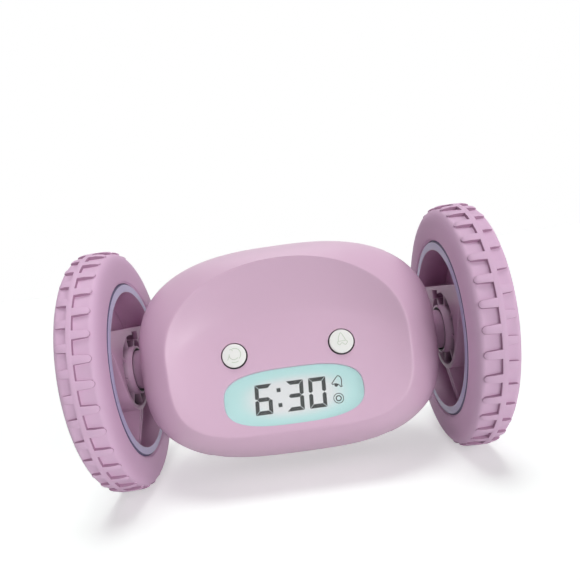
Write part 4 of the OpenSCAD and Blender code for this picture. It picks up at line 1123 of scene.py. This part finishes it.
# %% The signs beside the figures
PANEL_FRONT, SIGN_THICK = 3.2, 0.1
BELL_AT, CLAPPER_AT, RING_AT = (14.3, 14.5), (14.1, 13.9), (14.3, 9.5)
tilted_side = [(-1.5, 0.2), (-1.1, 0.55), (-0.55, 1.2), (0.6, 2.35), (1.35, 2.0)]
tilted_side += [(1.75, 0.9), (1.55, -0.6), (1.75, -1.2)]
tilted_foot = [(-1.5, 0.2), (-1.35, -0.25), (-0.2, -0.15), (0.85, -0.75), (1.2, -1.3), (1.75, -1.2)]
beside_figures = [
    (moved(smooth_line(tilted_side), *BELL_AT), 0.28, False),
    (moved(smooth_line(tilted_foot), *BELL_AT), 0.28, False),
    (moved(arc(0, 0, 0.3, 0, 340, 12), *CLAPPER_AT), 0.55, True),
    (arc(*RING_AT, 1.6, 0, 350, 35), 0.24, True),
    (arc(*RING_AT, 0.82, 0, 345, 23), 0.36, True),
]
sign("display_signs", beside_figures, PANEL_FRONT - SIGN_THICK, PANEL_FRONT, figure_black, "body")

# %% [markdown]
# ## Finishes of the parts that stay as packed
#
# The parts inside are right as they are and only need their finish: green boards, black switches, white
# gearboxes, cream gears on steel axles and pins, and wrapped cells with bare contacts.

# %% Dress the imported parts
clock_parts = (
    (window_clear, "display_window"),
    (panel_light, "lcd_panel"),
    (figure_black, "lcd_digits"),
    (moulded_white, "lcd_holder"),
    (board_green, "main_board setting_board"),
    (moulded_black, "face_switches setting_switches speaker"),
    (steel, "board_screws door_screws shell_screws battery_contacts"),
    (shell_lilac, "battery_tray"),
    (cell_wrap, "battery_cells"),
)
drive_parts = (
    (steel, "wheel_screw axle motor gearbox_screws"),
    (gear_cream, "output_gear second_gear first_gear"),
    (brass, "motor_pinion"),
    (moulded_white, "gearbox_base gearbox_cover"),
)
dressed = {node: material for material, words in clock_parts for node in words.split()}
for side, word in SIDES:
    dressed.update({word + "_" + node: material for material, words in drive_parts for node in words.split()})
for node, material in dressed.items():
    dress(nodes[node], material)
print("dressed as packed:", len(dressed))

# %% [markdown]
# ## The studio
#
# The clock stands on plain white with a soft shadow under it. The floor and the world show their white to
# the camera and to mirrors only: what they give to the clock is far less, so the lamps decide its light and
# the floor still holds the shadow.

# %% The floor
FLOOR_HALF, FLOOR_GLOW, WHITE = 9000, 0.43, (1.0, 1.0, 1.0, 1.0)


def seen_or_mirrored(tree):
    """Light Path's nodes, and 1 for what the camera sees, by itself or in a gloss."""
    rays = add_node(tree, "ShaderNodeLightPath").outputs
    return rays, math_node(tree, "MAXIMUM", rays["Is Camera Ray"], rays["Is Glossy Ray"])


studio_floor = bpy.data.materials.new("studio_floor")
studio_floor.use_nodes = True
tree = studio_floor.node_tree
shader = set_shader(studio_floor, Base_Color=(0.84, 0.9, 0.86, 1.0), Emission_Color=WHITE)
set_shader(studio_floor, Roughness=1.0, Specular_IOR_Level=0.0)
rays, seen_part = seen_or_mirrored(tree)
tree.links.new(math_node(tree, "MULTIPLY", seen_part, FLOOR_GLOW), shader.inputs["Emission Strength"])
square = rectangle(-FLOOR_HALF, -FLOOR_HALF, FLOOR_HALF, FLOOR_HALF)
floor = new_piece("floor", [(x, y, 0) for x, y in square], [[0, 1, 2, 3]], Matrix())
dress(floor, studio_floor)
print("floor in m:", 2 * FLOOR_HALF * MM, "across")

# %% The world
WORLD_FILL = 0.1
world = bpy.data.worlds.new("studio")
bpy.context.scene.world = world
world.use_nodes = True
tree = world.node_tree
sky = tree.nodes["Background"]
sky.inputs["Color"].default_value = WHITE
rays, seen_part = seen_or_mirrored(tree)
shown = math_node(tree, "MAXIMUM", seen_part, rays["Is Transmission Ray"])
white = add_node(tree, "ShaderNodeMapRange", Value=shown, To_Min=WORLD_FILL, To_Max=1.0)
tree.links.new(white.outputs["Result"], sky.inputs["Strength"])
print("the world lights the clock at", WORLD_FILL)

# %% [markdown]
# The lamps are suns, which have no place and light the clock alike wherever the camera stands. Each one is
# spread over some 30 degrees, so shadows have soft edges. The lamp in front stands low and to the right, the
# one above lights the floor and draws the shadow, and the rest fill in softly.

# %% The lamps


def sun(name, around, up, spread, strength):
    """A soft lamp whose light comes from one direction: around from the front, and up."""
    toward = (math.sin(around) * math.cos(up), -math.cos(around) * math.cos(up), math.sin(up))
    data = bpy.data.lights.new(name, "SUN")
    data.angle, data.energy = math.radians(spread), strength
    new_object(name, data).rotation_euler = Vector(toward).to_track_quat("Z", "Y").to_euler()


lamps = (
    ("sun_front", 30, 1, 28, 1.85),
    ("sun_top", 0, 88, 28, 1.25),
    ("sun_right", 60, 20, 30, 0.25),
    ("sun_middle", 0, 30, 30, 0.22),
    ("sun_back", 180, 60, 40, 0.4),
)
for name, around, up, spread, strength in lamps:
    sun(name, math.radians(around), math.radians(up), spread, strength)
bpy.context.scene.view_settings.view_transform = "Standard"
print("lamps:", len(lamps))
